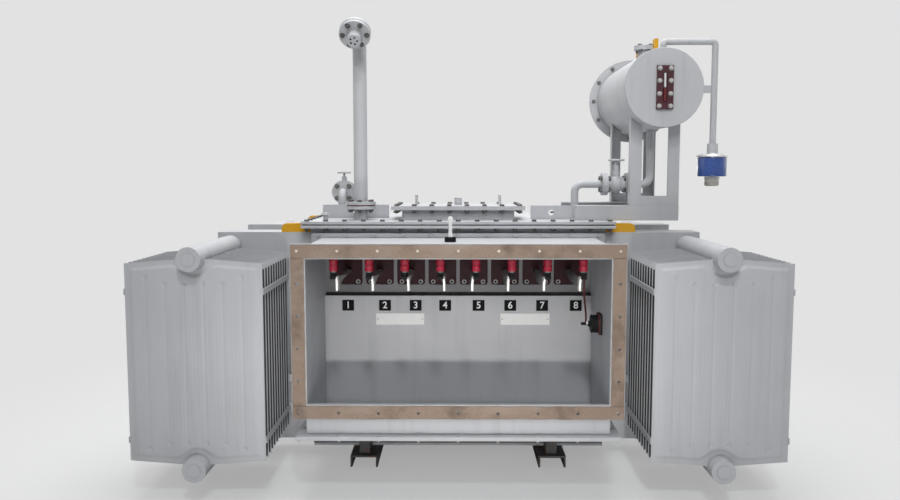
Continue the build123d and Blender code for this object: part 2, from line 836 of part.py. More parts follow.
with BuildPart() as vent_neck:
    with BuildSketch(Plane.XY.offset(lid_top)):
        with Locations((vent_x, vent_y)):
            Circle(vent_diameter / 2)
            Circle(vent_bore, mode=Mode.SUBTRACT)
    extrude(amount=vent_neck_height)
    with BuildSketch(Plane.XY.offset(lid_top + vent_neck_height)):
        with Locations((vent_x, vent_y)):
            Circle(vent_flange_diameter / 2)
            Circle(vent_bore, mode=Mode.SUBTRACT)
    extrude(amount=vent_flange_thickness)
write_piece(vent_neck, "vent_neck")

with BuildPart() as vent_gaskets:
    with BuildSketch(Plane.XY.offset(vent_joint_level)):
        with Locations((vent_x, vent_y)):
            Circle(vent_flange_diameter / 2 - vent_gasket_thickness)
            Circle(vent_bore, mode=Mode.SUBTRACT)
    extrude(amount=vent_gasket_thickness)
    with BuildSketch(vent_mouth.offset(vent_flange_thickness)):
        Circle(vent_flange_diameter / 2 - vent_gasket_thickness)
        Circle(vent_bore, mode=Mode.SUBTRACT)
    extrude(amount=vent_gasket_thickness)
write_piece(vent_gaskets, "vent_gaskets")

with BuildPart() as vent_pipe:
    with BuildSketch(Plane.XY.offset(vent_pipe_bottom)):
        with Locations((vent_x, vent_y)):
            Circle(vent_flange_diameter / 2)
            Circle(vent_bore, mode=Mode.SUBTRACT)
    extrude(amount=vent_flange_thickness)
    with BuildSketch(Plane.XY.offset(vent_pipe_bottom + vent_flange_thickness)):
        with Locations((vent_x, vent_y)):
            Circle(vent_diameter / 2)
            Circle(vent_bore, mode=Mode.SUBTRACT)
    extrude(amount=vent_rise)
    with BuildSketch(Plane.XY.offset(vent_bend_level)):
        with Locations((vent_x, vent_y)):
            Circle(vent_diameter / 2)
            Circle(vent_bore, mode=Mode.SUBTRACT)
    revolve(
        axis=Axis((vent_x, vent_y - vent_bend_radius, vent_bend_level), (1, 0, 0)),
        revolution_arc=vent_bend_angle,
    )
    with BuildSketch(vent_mouth):
        Circle(vent_flange_diameter / 2)
        Circle(vent_bore, mode=Mode.SUBTRACT)
    extrude(amount=vent_flange_thickness)
write_piece(vent_pipe, "vent_pipe")

vent_end_start = vent_flange_thickness + vent_gasket_thickness

with BuildPart() as vent_end:
    with BuildSketch(vent_mouth.offset(vent_end_start)):
        Circle(vent_flange_diameter / 2)
        Circle(vent_bore, mode=Mode.SUBTRACT)
    extrude(amount=vent_flange_thickness)
    with BuildSketch(vent_mouth.offset(vent_end_start + vent_flange_thickness)):
        Circle(vent_diameter / 2)
        Circle(vent_bore, mode=Mode.SUBTRACT)
    extrude(amount=vent_stub_length)
    with BuildSketch(vent_mouth.offset(vent_end_start + vent_flange_thickness + vent_stub_length)):
        Circle(vent_diameter / 2)
        with PolarLocations(vent_cap_circle / 2, vent_cap_hole_count):
            Circle(vent_cap_hole / 2, mode=Mode.SUBTRACT)
    extrude(amount=vent_cap_thickness)
write_piece(vent_end, "vent_end")


def handwheel(x, y, gland_top, exposed_stem, diameter):
    """Spoked valve handwheel with its stem, which turns in the gland below it."""
    hub_bottom = gland_top + exposed_stem
    rim_level = hub_bottom + wheel_hub_height / 2
    rim_radius = diameter / 2 - wheel_rim_thickness / 2
    stem_bottom = gland_top - stem_bore_depth + stem_bottom_gap
    with BuildPart() as wheel:
        with Locations((x, y, rim_level)):
            Torus(rim_radius, wheel_rim_thickness / 2)
            Cylinder(wheel_hub_diameter / 2, wheel_hub_height)
            with PolarLocations(rim_radius / 2, wheel_spoke_count):
                Box(rim_radius, wheel_spoke_width, wheel_spoke_thickness)
        with BuildSketch(Plane.XY.offset(stem_bottom)):
            with Locations((x, y)):
                Circle(stem_diameter / 2)
        extrude(amount=hub_bottom - stem_bottom)
    return wheel


# Filter valve: riser pipe, valve body and blank flange stand in line along Y
filter_front = filter_y - filter_body_length / 2
filter_rear = filter_y + filter_body_length / 2
filter_joint = filter_front - filter_flange_thickness
filter_pipe_end = filter_joint - filter_flange_thickness
filter_pipe_y = filter_pipe_end - filter_pipe_reach
filter_bonnet_top = filter_level + filter_bonnet_height
filter_gland_top = filter_bonnet_top + filter_gland_height

with BuildPart() as filter_pipe:
    with BuildLine() as filter_path:
        FilletPolyline(
            (filter_x, filter_pipe_y, lid_top),
            (filter_x, filter_pipe_y, filter_level),
            (filter_x, filter_pipe_end, filter_level),
            radius=filter_bend_radius,
        )
    with BuildSketch(Plane.XY.offset(lid_top)):
        with Locations((filter_x, filter_pipe_y)):
            Circle(filter_pipe_diameter / 2)
            Circle(filter_pipe_diameter / 2 - filter_pipe_wall, mode=Mode.SUBTRACT)
    sweep(path=filter_path.wires()[0])
    with BuildSketch(front_plane(filter_joint)):
        with Locations((filter_x, filter_level)):
            Circle(filter_flange_diameter / 2)
            Circle(filter_pipe_diameter / 2 - filter_pipe_wall, mode=Mode.SUBTRACT)
    extrude(amount=filter_flange_thickness)
write_piece(filter_pipe, "filter_pipe")

with BuildPart() as filter_valve:
    with BuildSketch(front_plane(filter_front), front_plane(filter_rear + filter_flange_thickness)):
        with Locations((filter_x, filter_level)):
            Circle(filter_flange_diameter / 2)
    extrude(amount=filter_flange_thickness)
    with BuildSketch(front_plane(filter_rear)):
        with Locations((filter_x, filter_level)):
            Circle(filter_body_diameter / 2)
    extrude(amount=filter_body_length)
    with BuildSketch(Plane.XY.offset(filter_level)):
        with Locations((filter_x, filter_y)):
            Circle(filter_bonnet_diameter / 2)
    extrude(amount=filter_bonnet_height)
    with BuildSketch(Plane.XY.offset(filter_bonnet_top)):
        with Locations((filter_x, filter_y)):
            RegularPolygon(filter_gland_diameter / 2, 6)
    extrude(amount=filter_gland_height)
    with BuildSketch(Plane.XY.offset(filter_gland_top)):
        with Locations((filter_x, filter_y)):
            Circle(stem_diameter / 2 + stem_running_gap)
    extrude(amount=-stem_bore_depth, mode=Mode.SUBTRACT)
write_piece(filter_valve, "filter_valve")

with BuildPart() as filter_blank:
    with BuildSketch(front_plane(filter_rear + 2 * filter_flange_thickness)):
        with Locations((filter_x, filter_level)):
            Circle(filter_flange_diameter / 2)
    extrude(amount=filter_flange_thickness)
write_piece(filter_blank, "filter_blank")

filter_handwheel = handwheel(filter_x, filter_y, filter_gland_top, filter_stem_height, filter_wheel_diameter)
write_piece(filter_handwheel, "filter_handwheel")

# Conservator
conservator_rear = conservator_front + conservator_length
mid_plane = front_plane(conservator_mid)

with BuildPart() as conservator_base:
    beam_inner_end = lid_side - beam_inset
    beam_outer_end = support_x + support_width / 2
    with BuildSketch(Plane.YZ.offset(beam_inner_end)):
        with Locations((support_y, lid_top + beam_height / 2)):
            Rectangle(beam_depth, beam_height)
        with Locations((support_y + beam_depth / 2, lid_top + beam_height / 2)):
            Rectangle(
                beam_depth - beam_steel,
                beam_height - 2 * beam_steel,
                align=(Align.MAX, Align.CENTER),
                mode=Mode.SUBTRACT,
            )
    extrude(amount=beam_outer_end - beam_inner_end)
    mirror(about=mid_plane)
write_piece(conservator_base, "conservator_base")

with BuildPart() as conservator_supports:
    support_top = conservator_level - conservator_radius + support_top_overlap
    with BuildSketch(Plane.XY.offset(support_bottom)):
        with Locations((support_x, support_y)):
            Rectangle(support_width, support_depth)
        with Locations((support_x, support_y + support_depth / 2)):
            Rectangle(
                support_width - 2 * support_edge_thickness,
                support_depth - support_plate_thickness,
                align=(Align.CENTER, Align.MAX),
                mode=Mode.SUBTRACT,
            )
    extrude(amount=support_top - support_bottom)
    with BuildSketch(front_plane(support_y)):
        with Locations((support_x, support_bottom + support_sill)):
            Rectangle(support_window_width, support_window_height, align=(Align.CENTER, Align.MIN))
    extrude(amount=support_depth, mode=Mode.SUBTRACT)
    with BuildSketch(front_plane(support_y)):
        with Locations((conservator_x, conservator_level)):
            Circle(conservator_radius + seat_gap)
    extrude(amount=support_depth, both=True, mode=Mode.SUBTRACT)
    mirror(about=mid_plane)
write_piece(conservator_supports, "conservator_supports")

shell_length = conservator_length - conservator_plate_thickness

with BuildPart() as conservator_shell:
    with BuildSketch(front_plane(conservator_rear)):
        with Locations((conservator_x, conservator_level)):
            Circle(conservator_radius)
    extrude(amount=shell_length)
    with BuildSketch(front_plane(conservator_rear)):
        with Locations((conservator_x, conservator_level)):
            Circle(conservator_flange_diameter / 2)
    extrude(amount=conservator_flange_thickness)
    with BuildSketch(Plane.XY.offset(conservator_level)):
        with Locations((conservator_x, filler_y)):
            Circle(filler_neck_diameter / 2)
    extrude(amount=conservator_radius + filler_neck_height)
    with BuildSketch(Plane.XY.offset(conservator_shell_top + filler_neck_height)):
        with Locations((conservator_x, filler_y)):
            Circle(filler_flange_diameter / 2)
    extrude(amount=filler_flange_thickness)
    with BuildSketch(front_plane(conservator_rear)):
        with Locations((conservator_x, conservator_level)):
            Circle(conservator_radius - conservator_wall)
    extrude(amount=shell_length, mode=Mode.SUBTRACT)
write_piece(conservator_shell, "conservator_shell")

with BuildPart() as conservator_end_plate:
    with BuildSketch(front_plane(conservator_front + conservator_plate_thickness)):
        with Locations((conservator_x, conservator_level)):
            Circle(conservator_radius)
    extrude(amount=conservator_plate_thickness)
write_piece(conservator_end_plate, "conservator_end_plate")

with BuildPart() as conservator_cover:
    with BuildSketch(front_plane(conservator_rear + conservator_cover_thickness)):
        with Locations((conservator_x, conservator_level)):
            Circle(conservator_flange_diameter / 2)
    extrude(amount=conservator_cover_thickness)
write_piece(conservator_cover, "conservator_cover")

with BuildPart() as oil_gauge:
    with BuildSketch(front_plane(conservator_front)):
        with Locations((conservator_x, conservator_level)):
            Rectangle(gauge_width, gauge_height)
    extrude(amount=gauge_thickness)
    with BuildSketch(front_plane(conservator_front - gauge_thickness)):
        with Locations((conservator_x, conservator_level)):
            SlotOverall(gauge_slot_height, gauge_slot_width, rotation=90)
    extrude(amount=-gauge_slot_depth, mode=Mode.SUBTRACT)
write_piece(oil_gauge, "oil_gauge")

# Yellow lifting lugs: four at the tank's corners, two on the conservator
lug_bottom = header_high + duct_height / 2
lug_outer = tank_side + lug_reach
lug_inner = curb_length / 2 + lug_gap
lug_top = lug_bottom + lug_rise

with BuildPart() as lifting_lugs:
    with BuildSketch(Plane.XZ.offset(duct_face - lug_thickness)):
        with BuildLine():
            Polyline(
                (tank_side, lug_bottom),
                (lug_outer, lug_bottom),
                (lug_outer, lug_top),
                (lug_inner, lug_top),
                (lug_inner, lug_bottom + lug_foot),
                (tank_side, lug_bottom + lug_foot),
                close=True,
            )
        tank_lug_face = make_face()
        fillet(tank_lug_face.vertices().sort_by(SortBy.DISTANCE)[-1], radius=lug_corner)
    extrude(amount=lug_thickness)
    mirror(about=Plane.YZ)
    mirror(about=Plane.XZ)
    conservator_lug_ys = [conservator_mid + s * conservator_lug_spacing / 2 for s in (-1, 1)]
    conservator_lug_eye = conservator_shell_top + conservator_lug_height / 2
    with BuildSketch(Plane.YZ.offset(conservator_x - conservator_lug_thickness / 2)):
        with Locations(*[(y, conservator_shell_top + seat_gap) for y in conservator_lug_ys]):
            Rectangle(conservator_lug_length, conservator_lug_height, align=(Align.CENTER, Align.MIN))
        with Locations(*[(y, conservator_lug_eye) for y in conservator_lug_ys]):
            Circle(conservator_lug_hole / 2, mode=Mode.SUBTRACT)
    extrude(amount=conservator_lug_thickness)
write_piece(lifting_lugs, "lifting_lugs")

# Gas relay pipe and its valve, in line along X
relay_left = relay_valve_x - relay_body_length / 2
relay_right = relay_valve_x + relay_body_length / 2
relay_left_joint = relay_left - relay_flange_thickness
relay_right_joint = relay_right + relay_flange_thickness
relay_pipe_bore = relay_pipe_diameter / 2 - relay_pipe_wall
relay_bonnet_top = relay_level + relay_bonnet_height
relay_gland_top = relay_bonnet_top + relay_gland_height
relay_left_end = relay_left_joint - relay_flange_thickness
relay_outlet_top = conservator_level - conservator_radius - seat_gap

with BuildPart() as relay_pipes:
    with BuildLine() as riser_path:
        FilletPolyline(
            (relay_x, relay_y, lid_top),
            (relay_x, relay_y, relay_level),
            (relay_left_end, relay_y, relay_level),
            radius=relay_bend_radius,
        )
    with BuildSketch(Plane.XY.offset(lid_top)):
        with Locations((relay_x, relay_y)):
            Circle(relay_pipe_diameter / 2)
            Circle(relay_pipe_bore, mode=Mode.SUBTRACT)
    sweep(path=riser_path.wires()[0])
    with BuildLine() as outlet_path:
        FilletPolyline(
            (conservator_x, relay_y, relay_outlet_top),
            (conservator_x, relay_y, relay_level),
            (relay_right_joint + relay_flange_thickness, relay_y, relay_level),
            radius=relay_bend_radius,
        )
    with BuildSketch(Plane.XY.offset(relay_outlet_top)):
        with Locations((conservator_x, relay_y)):
            Circle(relay_pipe_diameter / 2)
            Circle(relay_pipe_bore, mode=Mode.SUBTRACT)
    sweep(path=outlet_path.wires()[0])
    with BuildSketch(Plane.YZ.offset(relay_left_end), Plane.YZ.offset(relay_right_joint)):
        with Locations((relay_y, relay_level)):
            Circle(relay_flange_diameter / 2)
            Circle(relay_pipe_bore, mode=Mode.SUBTRACT)
    extrude(amount=relay_flange_thickness)
write_piece(relay_pipes, "relay_pipes")

with BuildPart() as relay_valve:
    with BuildSketch(Plane.YZ.offset(relay_left_joint), Plane.YZ.offset(relay_right)):
        with Locations((relay_y, relay_level)):
            Circle(relay_flange_diameter / 2)
    extrude(amount=relay_flange_thickness)
    with BuildSketch(Plane.YZ.offset(relay_left)):
        with Locations((relay_y, relay_level)):
            Circle(relay_body_diameter / 2)
    extrude(amount=relay_body_length)
    with Locations((relay_valve_x, relay_y, relay_level)):
        Sphere(relay_bulb_diameter / 2)
    with BuildSketch(Plane.XY.offset(relay_level)):
        with Locations((relay_valve_x, relay_y)):
            Circle(relay_bonnet_diameter / 2)
    extrude(amount=relay_bonnet_height)
    with BuildSketch(Plane.XY.offset(relay_bonnet_top)):
        with Locations((relay_valve_x, relay_y)):
            RegularPolygon(relay_gland_diameter / 2, 6)
    extrude(amount=relay_gland_height)
    with BuildSketch(Plane.XY.offset(relay_gland_top)):
        with Locations((relay_valve_x, relay_y)):
            Circle(stem_diameter / 2 + stem_running_gap)
    extrude(amount=-stem_bore_depth, mode=Mode.SUBTRACT)
write_piece(relay_valve, "relay_valve")

relay_handwheel = handwheel(relay_valve_x, relay_y, relay_gland_top, relay_stem_height, relay_wheel_diameter)
write_piece(relay_handwheel, "relay_handwheel")

# Breather: pipe over the conservator's shoulder, gel vessel and oil cup
breather_pipe_bottom = breather_cap_level + breather_cap_thickness
breather_start = conservator_shell_top + seat_gap
breather_bore = breather_pipe_diameter / 2 - breather_pipe_wall
bracket_start = conservator_x + conservator_radius + seat_gap

with BuildPart() as breather_pipe:
    with BuildLine() as breather_path:
        FilletPolyline(
            (conservator_x, breather_y, breather_start),
            (conservator_x, breather_y, breather_pipe_level),
            (breather_x, breather_y, breather_pipe_level),
            (breather_x, breather_y, breather_pipe_bottom),
            radius=breather_bend_radius,
        )
    with BuildSketch(Plane.XY.offset(breather_start)):
        with Locations((conservator_x, breather_y)):
            Circle(breather_pipe_diameter / 2)
            Circle(breather_bore, mode=Mode.SUBTRACT)
    sweep(path=breather_path.wires()[0])
    with BuildSketch(Plane.XY.offset(breather_pipe_bottom)):
        with Locations((breather_x, breather_y)):
            Circle(breather_socket_diameter / 2)
            Circle(breather_bore, mode=Mode.SUBTRACT)
    extrude(amount=breather_socket_height)
    with BuildSketch(Plane.YZ.offset(bracket_start)):
        with Locations((breather_y, bracket_level)):
            Rectangle(bracket_thickness, bracket_height)
    extrude(amount=breather_x - breather_bore - bracket_start)
    with BuildSketch(Plane.XY.offset(bracket_level - bracket_height)):
        with Locations((breather_x, breather_y)):
            Circle(breather_bore)
    extrude(amount=2 * bracket_height, mode=Mode.SUBTRACT)
write_piece(breather_pipe, "breather_pipe")

with BuildPart() as breather_cap:
    with BuildSketch(Plane.XY.offset(breather_cap_level)):
        with Locations((breather_x, breather_y)):
            Circle(breather_cap_diameter / 2)
    extrude(amount=breather_cap_thickness)
write_piece(breather_cap, "breather_cap")

breather_body_bottom = breather_cap_level - breather_body_height

with BuildPart() as breather_body:
    with BuildSketch(Plane.XY.offset(breather_body_bottom)):
        with Locations((breather_x, breather_y)):
            Circle(breather_body_diameter / 2)
    extrude(amount=breather_body_height)
write_piece(breather_body, "breather_body")

with BuildPart() as breather_cup:
    cup_bottom = breather_body_bottom - breather_cup_height
    with BuildSketch(Plane.XY.offset(cup_bottom)):
        with Locations((breather_x, breather_y)):
            Circle(breather_cup_diameter / 2)
    extrude(amount=breather_cup_height)
    with BuildSketch(Plane.XY.offset(cup_bottom - breather_knob_height)):
        with Locations((breather_x, breather_y)):
            Circle(breather_knob_diameter / 2)
    extrude(amount=breather_knob_height)
write_piece(breather_cup, "breather_cup")

# High-voltage cable box on the rear side
hv_center = hv_box_bottom + hv_box_height / 2
hv_rear = tank_face + hv_box_reach

with BuildPart() as hv_box:
    with BuildSketch(front_plane(hv_rear)):
        with Locations((0, hv_center)):
            Rectangle(hv_box_width, hv_box_height)
    extrude(amount=hv_box_reach)
    with BuildSketch(front_plane(tank_face + hv_flange_thickness), front_plane(hv_rear)):
        with Locations((0, hv_center)):
            Rectangle(hv_box_width + 2 * hv_flange_lip, hv_box_height + 2 * hv_flange_lip)
    extrude(amount=hv_flange_thickness)
write_piece(hv_box, "hv_box")

with BuildPart() as hv_box_cover:
    with BuildSketch(front_plane(hv_rear + hv_cover_thickness)):
        with Locations((0, hv_center)):
            Rectangle(hv_box_width + 2 * hv_flange_lip, hv_box_height + 2 * hv_flange_lip)
    extrude(amount=hv_cover_thickness)
write_piece(hv_box_cover, "hv_box_cover")
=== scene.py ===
"""Looks of the furnace transformer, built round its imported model. Metres, in the model's own frame."""
import json
import math
import random

import bpy
from mathutils import Matrix, Vector
from mathutils.geometry import tessellate_polygon


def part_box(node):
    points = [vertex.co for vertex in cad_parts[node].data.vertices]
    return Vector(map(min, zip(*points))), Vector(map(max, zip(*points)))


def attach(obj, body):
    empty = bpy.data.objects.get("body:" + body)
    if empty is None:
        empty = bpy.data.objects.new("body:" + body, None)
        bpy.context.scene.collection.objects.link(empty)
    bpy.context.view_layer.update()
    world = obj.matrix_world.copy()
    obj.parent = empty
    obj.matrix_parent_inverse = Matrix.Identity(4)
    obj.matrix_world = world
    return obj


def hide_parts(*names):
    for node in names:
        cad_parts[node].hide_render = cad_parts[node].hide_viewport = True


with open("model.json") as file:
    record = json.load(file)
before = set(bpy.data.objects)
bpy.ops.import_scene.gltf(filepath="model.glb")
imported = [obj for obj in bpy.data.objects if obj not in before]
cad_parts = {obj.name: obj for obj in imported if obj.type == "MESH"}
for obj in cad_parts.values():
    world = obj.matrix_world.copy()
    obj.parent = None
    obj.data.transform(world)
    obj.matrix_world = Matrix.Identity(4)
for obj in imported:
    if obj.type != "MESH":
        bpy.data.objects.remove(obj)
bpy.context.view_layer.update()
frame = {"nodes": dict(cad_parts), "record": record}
nodes = frame["nodes"]
chance = random.Random(7)
UP = Vector((0, 0, 1))
FRONT = Vector((0, -1, 0))
REAR = Vector((0, 1, 0))
LEFT = Vector((-1, 0, 0))


def put_in_scene(thing):
    bpy.context.scene.collection.objects.link(thing)


def centre_of(node):
    low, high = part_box(node)
    return (low + high) / 2


# Camera, taken from the photograph: 900 by 500 pixels
image_width = 900
focal_pixels = 835
sensor_width = 36.0
camera_place = (-0.005, -3.970, 1.261)
camera_pitch = math.radians(5.34)
camera_yaw = math.radians(0.48)


def make_camera():
    data = bpy.data.cameras.new("camera")
    data.sensor_width = sensor_width
    data.lens = sensor_width * focal_pixels / image_width
    camera = bpy.data.objects.new("camera", data)
    camera.location = camera_place
    camera.rotation_euler = (math.pi / 2 - camera_pitch, 0, camera_yaw)
    put_in_scene(camera)
    bpy.context.scene.camera = camera


# Materials

class Tree:
    """A node tree and short ways to add nodes to it."""

    def __init__(self, tree):
        self.tree = tree

    def feed(self, socket, value):
        """Link a socket to another one, or set its constant."""
        if isinstance(value, bpy.types.NodeSocket):
            self.tree.links.new(value, socket)
        else:
            socket.default_value = value

    def node(self, kind, links=None, **settings):
        """Add a node; settings are its properties, links its inputs by name or number."""
        made = self.tree.nodes.new(kind)
        for key, value in settings.items():
            setattr(made, key, value)
        for key, value in (links or {}).items():
            self.feed(made.inputs[key], value)
        return made

    def math(self, operation, a, b):
        return self.node("ShaderNodeMath", {0: a, 1: b}, operation=operation).outputs[0]


class Paint(Tree):
    """One material, with its shader and the patterns that drive it."""

    def __init__(self, name, roughness=0.5, metallic=0.0):
        self.material = bpy.data.materials.new(name)
        self.material.use_nodes = True
        super().__init__(self.material.node_tree)
        self.shader = self.tree.nodes["Principled BSDF"]
        self.set("Roughness", roughness)
        self.set("Metallic", metallic)
        self.coords = self.node("ShaderNodeTexCoord").outputs["Object"]

    def set(self, name, value):
        self.feed(self.shader.inputs[name], value)

    def noise(self, scale, detail=4.0, stretch=(1, 1, 1), roughness=0.55):
        place = self.node("ShaderNodeMapping", {"Vector": self.coords, "Scale": stretch}).outputs[0]
        links = {"Vector": place, "Scale": scale, "Detail": detail, "Roughness": roughness}
        return self.node("ShaderNodeTexNoise", links).outputs["Fac"]

    def patches(self, scale, detail, low, high, to_low=0.0, to_high=1.0, stretch=(1, 1, 1), roughness=0.55):
        """Noise whose range from low to high is mapped onto to_low to to_high."""
        return self.band(self.noise(scale, detail, stretch, roughness), low, high, to_low, to_high)

    def cells(self, scale):
        links = {"Vector": self.coords, "Scale": scale}
        return self.node("ShaderNodeTexVoronoi", links).outputs["Distance"]

    def band(self, value, low, high, to_low=0.0, to_high=1.0):
        """Map low to high of a value onto to_low to to_high, clamped."""
        links = {"Value": value, 1: low, 2: high, 3: to_low, 4: to_high}
        return self.node("ShaderNodeMapRange", links).outputs[0]

    def blend(self, share, a, b):
        """Make the base colour from a to b by a share."""
        links = {0: share, 6: rgba(a), 7: rgba(b)}
        self.base = self.node("ShaderNodeMix", links, data_type="RGBA").outputs[2]

    def layer(self, share, colour):
        """Lay a colour over the base colour by a share."""
        self.blend(share, self.base, colour)

    def done(self):
        self.set("Base Color", self.base)
        return self.material

    def crevices(self, reach):
        """One in the open, falling towards zero in corners."""
        return self.node("ShaderNodeAmbientOcclusion", {"Distance": reach}, samples=6).outputs["AO"]

    def height(self):
        return self.node("ShaderNodeSeparateXYZ", {0: self.coords}).outputs["Z"]

    def relief(self, height, distance, strength=1.0, edge=0.0):
        """Bump from a height, over edges rounded by a small radius."""
        links = {"Height": height, "Distance": distance, "Strength": strength}
        if edge:
            links["Normal"] = self.node("ShaderNodeBevel", {"Radius": edge}, samples=4).outputs[0]
        self.set("Normal", self.node("ShaderNodeBump", links).outputs[0])


def rgba(colour):
    """A colour of three numbers as four; a socket stays as it is."""
    if isinstance(colour, bpy.types.NodeSocket):
        return colour
    return (*colour, 1.0)


def shade(colour, factor):
    return tuple(c * factor for c in colour)


def enamel(name, colour, dirt, wear, roughness=0.42, corner_shade=0.5, below=None):
    """Enamel with runs, smudges, chips and painted shade in its corners; below is a colour of painted shade
    and the level it reaches.
    """
    paint = Paint(name)
    paint.blend(paint.patches(2.3, 5.0, 0.3, 0.7), shade(colour, 0.94), shade(colour, 1.04))
    runs = paint.patches(3.0, 5.0, 0.52, 0.78, 0.0, dirt, (9, 9, 0.55))
    paint.layer(runs, shade(colour, 0.62))
    smudges = paint.patches(7.0, 6.0, 0.60, 0.80, 0.0, 0.6 * dirt, (1, 1, 0.6))
    paint.layer(smudges, (0.36, 0.33, 0.29))
    # Painted shade: a darker colour under a level.
    if below:
        shade_below, level = below
        paint.layer(paint.band(paint.height(), level - 0.003, level + 0.003, 1.0, 0.0), shade_below)
    # Painted shade: darker in corners and recesses, where ambient occlusion finds them.
    corners = paint.band(paint.crevices(0.03), 0.25, 0.85, corner_shade, 0.0)
    paint.layer(corners, shade(colour, 0.45))
    chips = paint.patches(34.0, 8.0, 0.70, 0.74, 0.0, wear, roughness=0.7)
    paint.layer(chips, (0.16, 0.14, 0.13))
    paint.set("Roughness", paint.patches(11.0, 4.0, 0.3, 0.75, roughness - 0.05, roughness + 0.14))
    paint.set("Specular IOR Level", 0.35)
    paint.relief(paint.noise(230.0, 2.0), 0.0004, 0.35, edge=0.0018)
    return paint.done()


def skid_paint():
    """Dark primer, worn and rusty."""
    paint = Paint("skid_paint")
    rust = paint.patches(26.0, 8.0, 0.50, 0.66, roughness=0.68)
    paint.blend(rust, (0.030, 0.030, 0.033), (0.115, 0.060, 0.035))
    dust = paint.patches(5.0, 5.0, 0.45, 0.75, 0.0, 0.5)
    paint.layer(dust, (0.17, 0.16, 0.15))
    paint.set("Roughness", paint.band(rust, 0.0, 1.0, 0.45, 0.85))
    paint.relief(rust, 0.0008, 0.6, edge=0.002)
    return paint.done()


def cork_gasket():
    """Rubberised cork: fine granules, oil stains and paler rubbed patches."""
    paint = Paint("cork_gasket", roughness=0.85)
    grains = paint.cells(420.0)
    paint.blend(paint.band(grains, 0.1, 0.7), (0.175, 0.122, 0.090), (0.315, 0.235, 0.180))
    stains = paint.patches(9.0, 6.0, 0.50, 0.68, 0.0, 0.75)
    paint.layer(stains, (0.120, 0.082, 0.062))
    rubbed = paint.patches(4.2, 7.0, 0.54, 0.74, 0.0, 0.7, (1, 1, 2))
    paint.layer(rubbed, (0.36, 0.295, 0.245))
    paint.relief(grains, 0.0006, 0.6, edge=0.001)
    return paint.done()


def rubber(name, colour):
    paint = Paint(name, roughness=0.7)
    paint.blend(paint.patches(40.0, 6.0, 0.35, 0.7), shade(colour, 0.7), shade(colour, 1.35))
    paint.relief(paint.noise(300.0), 0.0004, 0.5)
    return paint.done()


def terminal_board():
    """Dark red laminated board with a faint cloth pattern."""
    paint = Paint("terminal_board", roughness=0.5)
    weave = paint.math("MULTIPLY", paint.noise(60.0, 2.0, (1, 1, 9)), paint.noise(60.0, 2.0, (9, 1, 1)))
    paint.blend(paint.band(weave, 0.1, 0.45), (0.0080, 0.0008, 0.0016), (0.045, 0.0030, 0.0090))
    dust = paint.patches(14.0, 5.0, 0.5, 0.8, 0.0, 0.25)
    paint.layer(dust, (0.030, 0.012, 0.014))
    paint.set("Specular IOR Level", 0.15)
    paint.relief(weave, 0.0003, 0.4, edge=0.0015)
    return paint.done()


def cast_resin(name, colour, roughness=0.22):
    """Glossy moulded plastic or resin with slight flow marks and painted shade in its corners."""
    paint = Paint(name, roughness)
    flow = paint.patches(18.0, 4.0, 0.3, 0.7, stretch=(1, 1, 0.4))
    paint.blend(flow, shade(colour, 0.82), shade(colour, 1.12))
    # Painted shade: darker in its corners, where ambient occlusion finds them.
    corners = paint.band(paint.crevices(0.012), 0.3, 0.9, 0.55, 0.0)
    paint.layer(corners, shade(colour, 0.25))
    paint.set("Roughness", paint.patches(50.0, 5.0, 0.3, 0.75, roughness - 0.06, roughness + 0.15))
    paint.relief(paint.noise(120.0), 0.0003, 0.25, edge=0.001)
    return paint.done()


def bare_metal(name, colour, roughness, stretch=(1, 1, 1)):
    """Plated or tinned metal with brushed streaks, dull spots and painted shade in corners."""
    paint = Paint(name, roughness, metallic=1.0)
    streaks = paint.noise(90.0, 5.0, stretch)
    paint.blend(paint.band(streaks, 0.3, 0.75), shade(colour, 0.82), shade(colour, 1.06))
    spots = paint.patches(32.0, 6.0, 0.55, 0.75, 0.0, 0.45)
    paint.layer(spots, shade(colour, 0.55))
    # Painted shade: darker in its corners, where ambient occlusion finds them.
    corners = paint.band(paint.crevices(0.006), 0.3, 0.9, 0.6, 0.0)
    paint.layer(corners, shade(colour, 0.22))
    paint.set("Roughness", paint.band(streaks, 0.3, 0.75, roughness - 0.07, roughness + 0.12))
    paint.relief(streaks, 0.0002, 0.3)
    return paint.done()


def gel_jar():
    """Clear jar full of blue gel beads."""
    paint = Paint("blue_gel", roughness=0.12)
    beads = paint.cells(260.0)
    paint.blend(paint.band(beads, 0.05, 0.6), (0.019, 0.105, 0.42), (0.007, 0.046, 0.24))
    paint.set("Coat Weight", 0.5)
    paint.set("Coat Roughness", 0.05)
    paint.relief(beads, 0.0006, 0.35)
    return paint.done()


def oil_cup():
    """Clouded cup, darker where the oil stands."""
    paint = Paint("oil_cup", roughness=0.18)
    clouds = paint.patches(60.0, 5.0, 0.35, 0.7)
    paint.blend(clouds, (0.46, 0.45, 0.42), (0.60, 0.59, 0.56))
    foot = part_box("breather_cup")[0].z
    oil = paint.band(paint.height(), foot + 0.015, foot + 0.023, 1.0, 0.0)
    paint.layer(oil, (0.36, 0.34, 0.29))
    paint.set("Coat Weight", 0.8)
    paint.relief(clouds, 0.0003, 0.2)
    return paint.done()


def plain_face(name, colour, roughness):
    """Smooth face of one colour, a little rubbed."""
    paint = Paint(name, roughness)
    rub = paint.patches(55.0, 6.0, 0.48, 0.75, 0.0, 0.35)
    paint.blend(rub, colour, tuple(0.85 * c + 0.015 for c in colour))
    paint.set("Specular IOR Level", 0.12)
    paint.relief(paint.noise(400.0), 0.0002, 0.2)
    return paint.done()


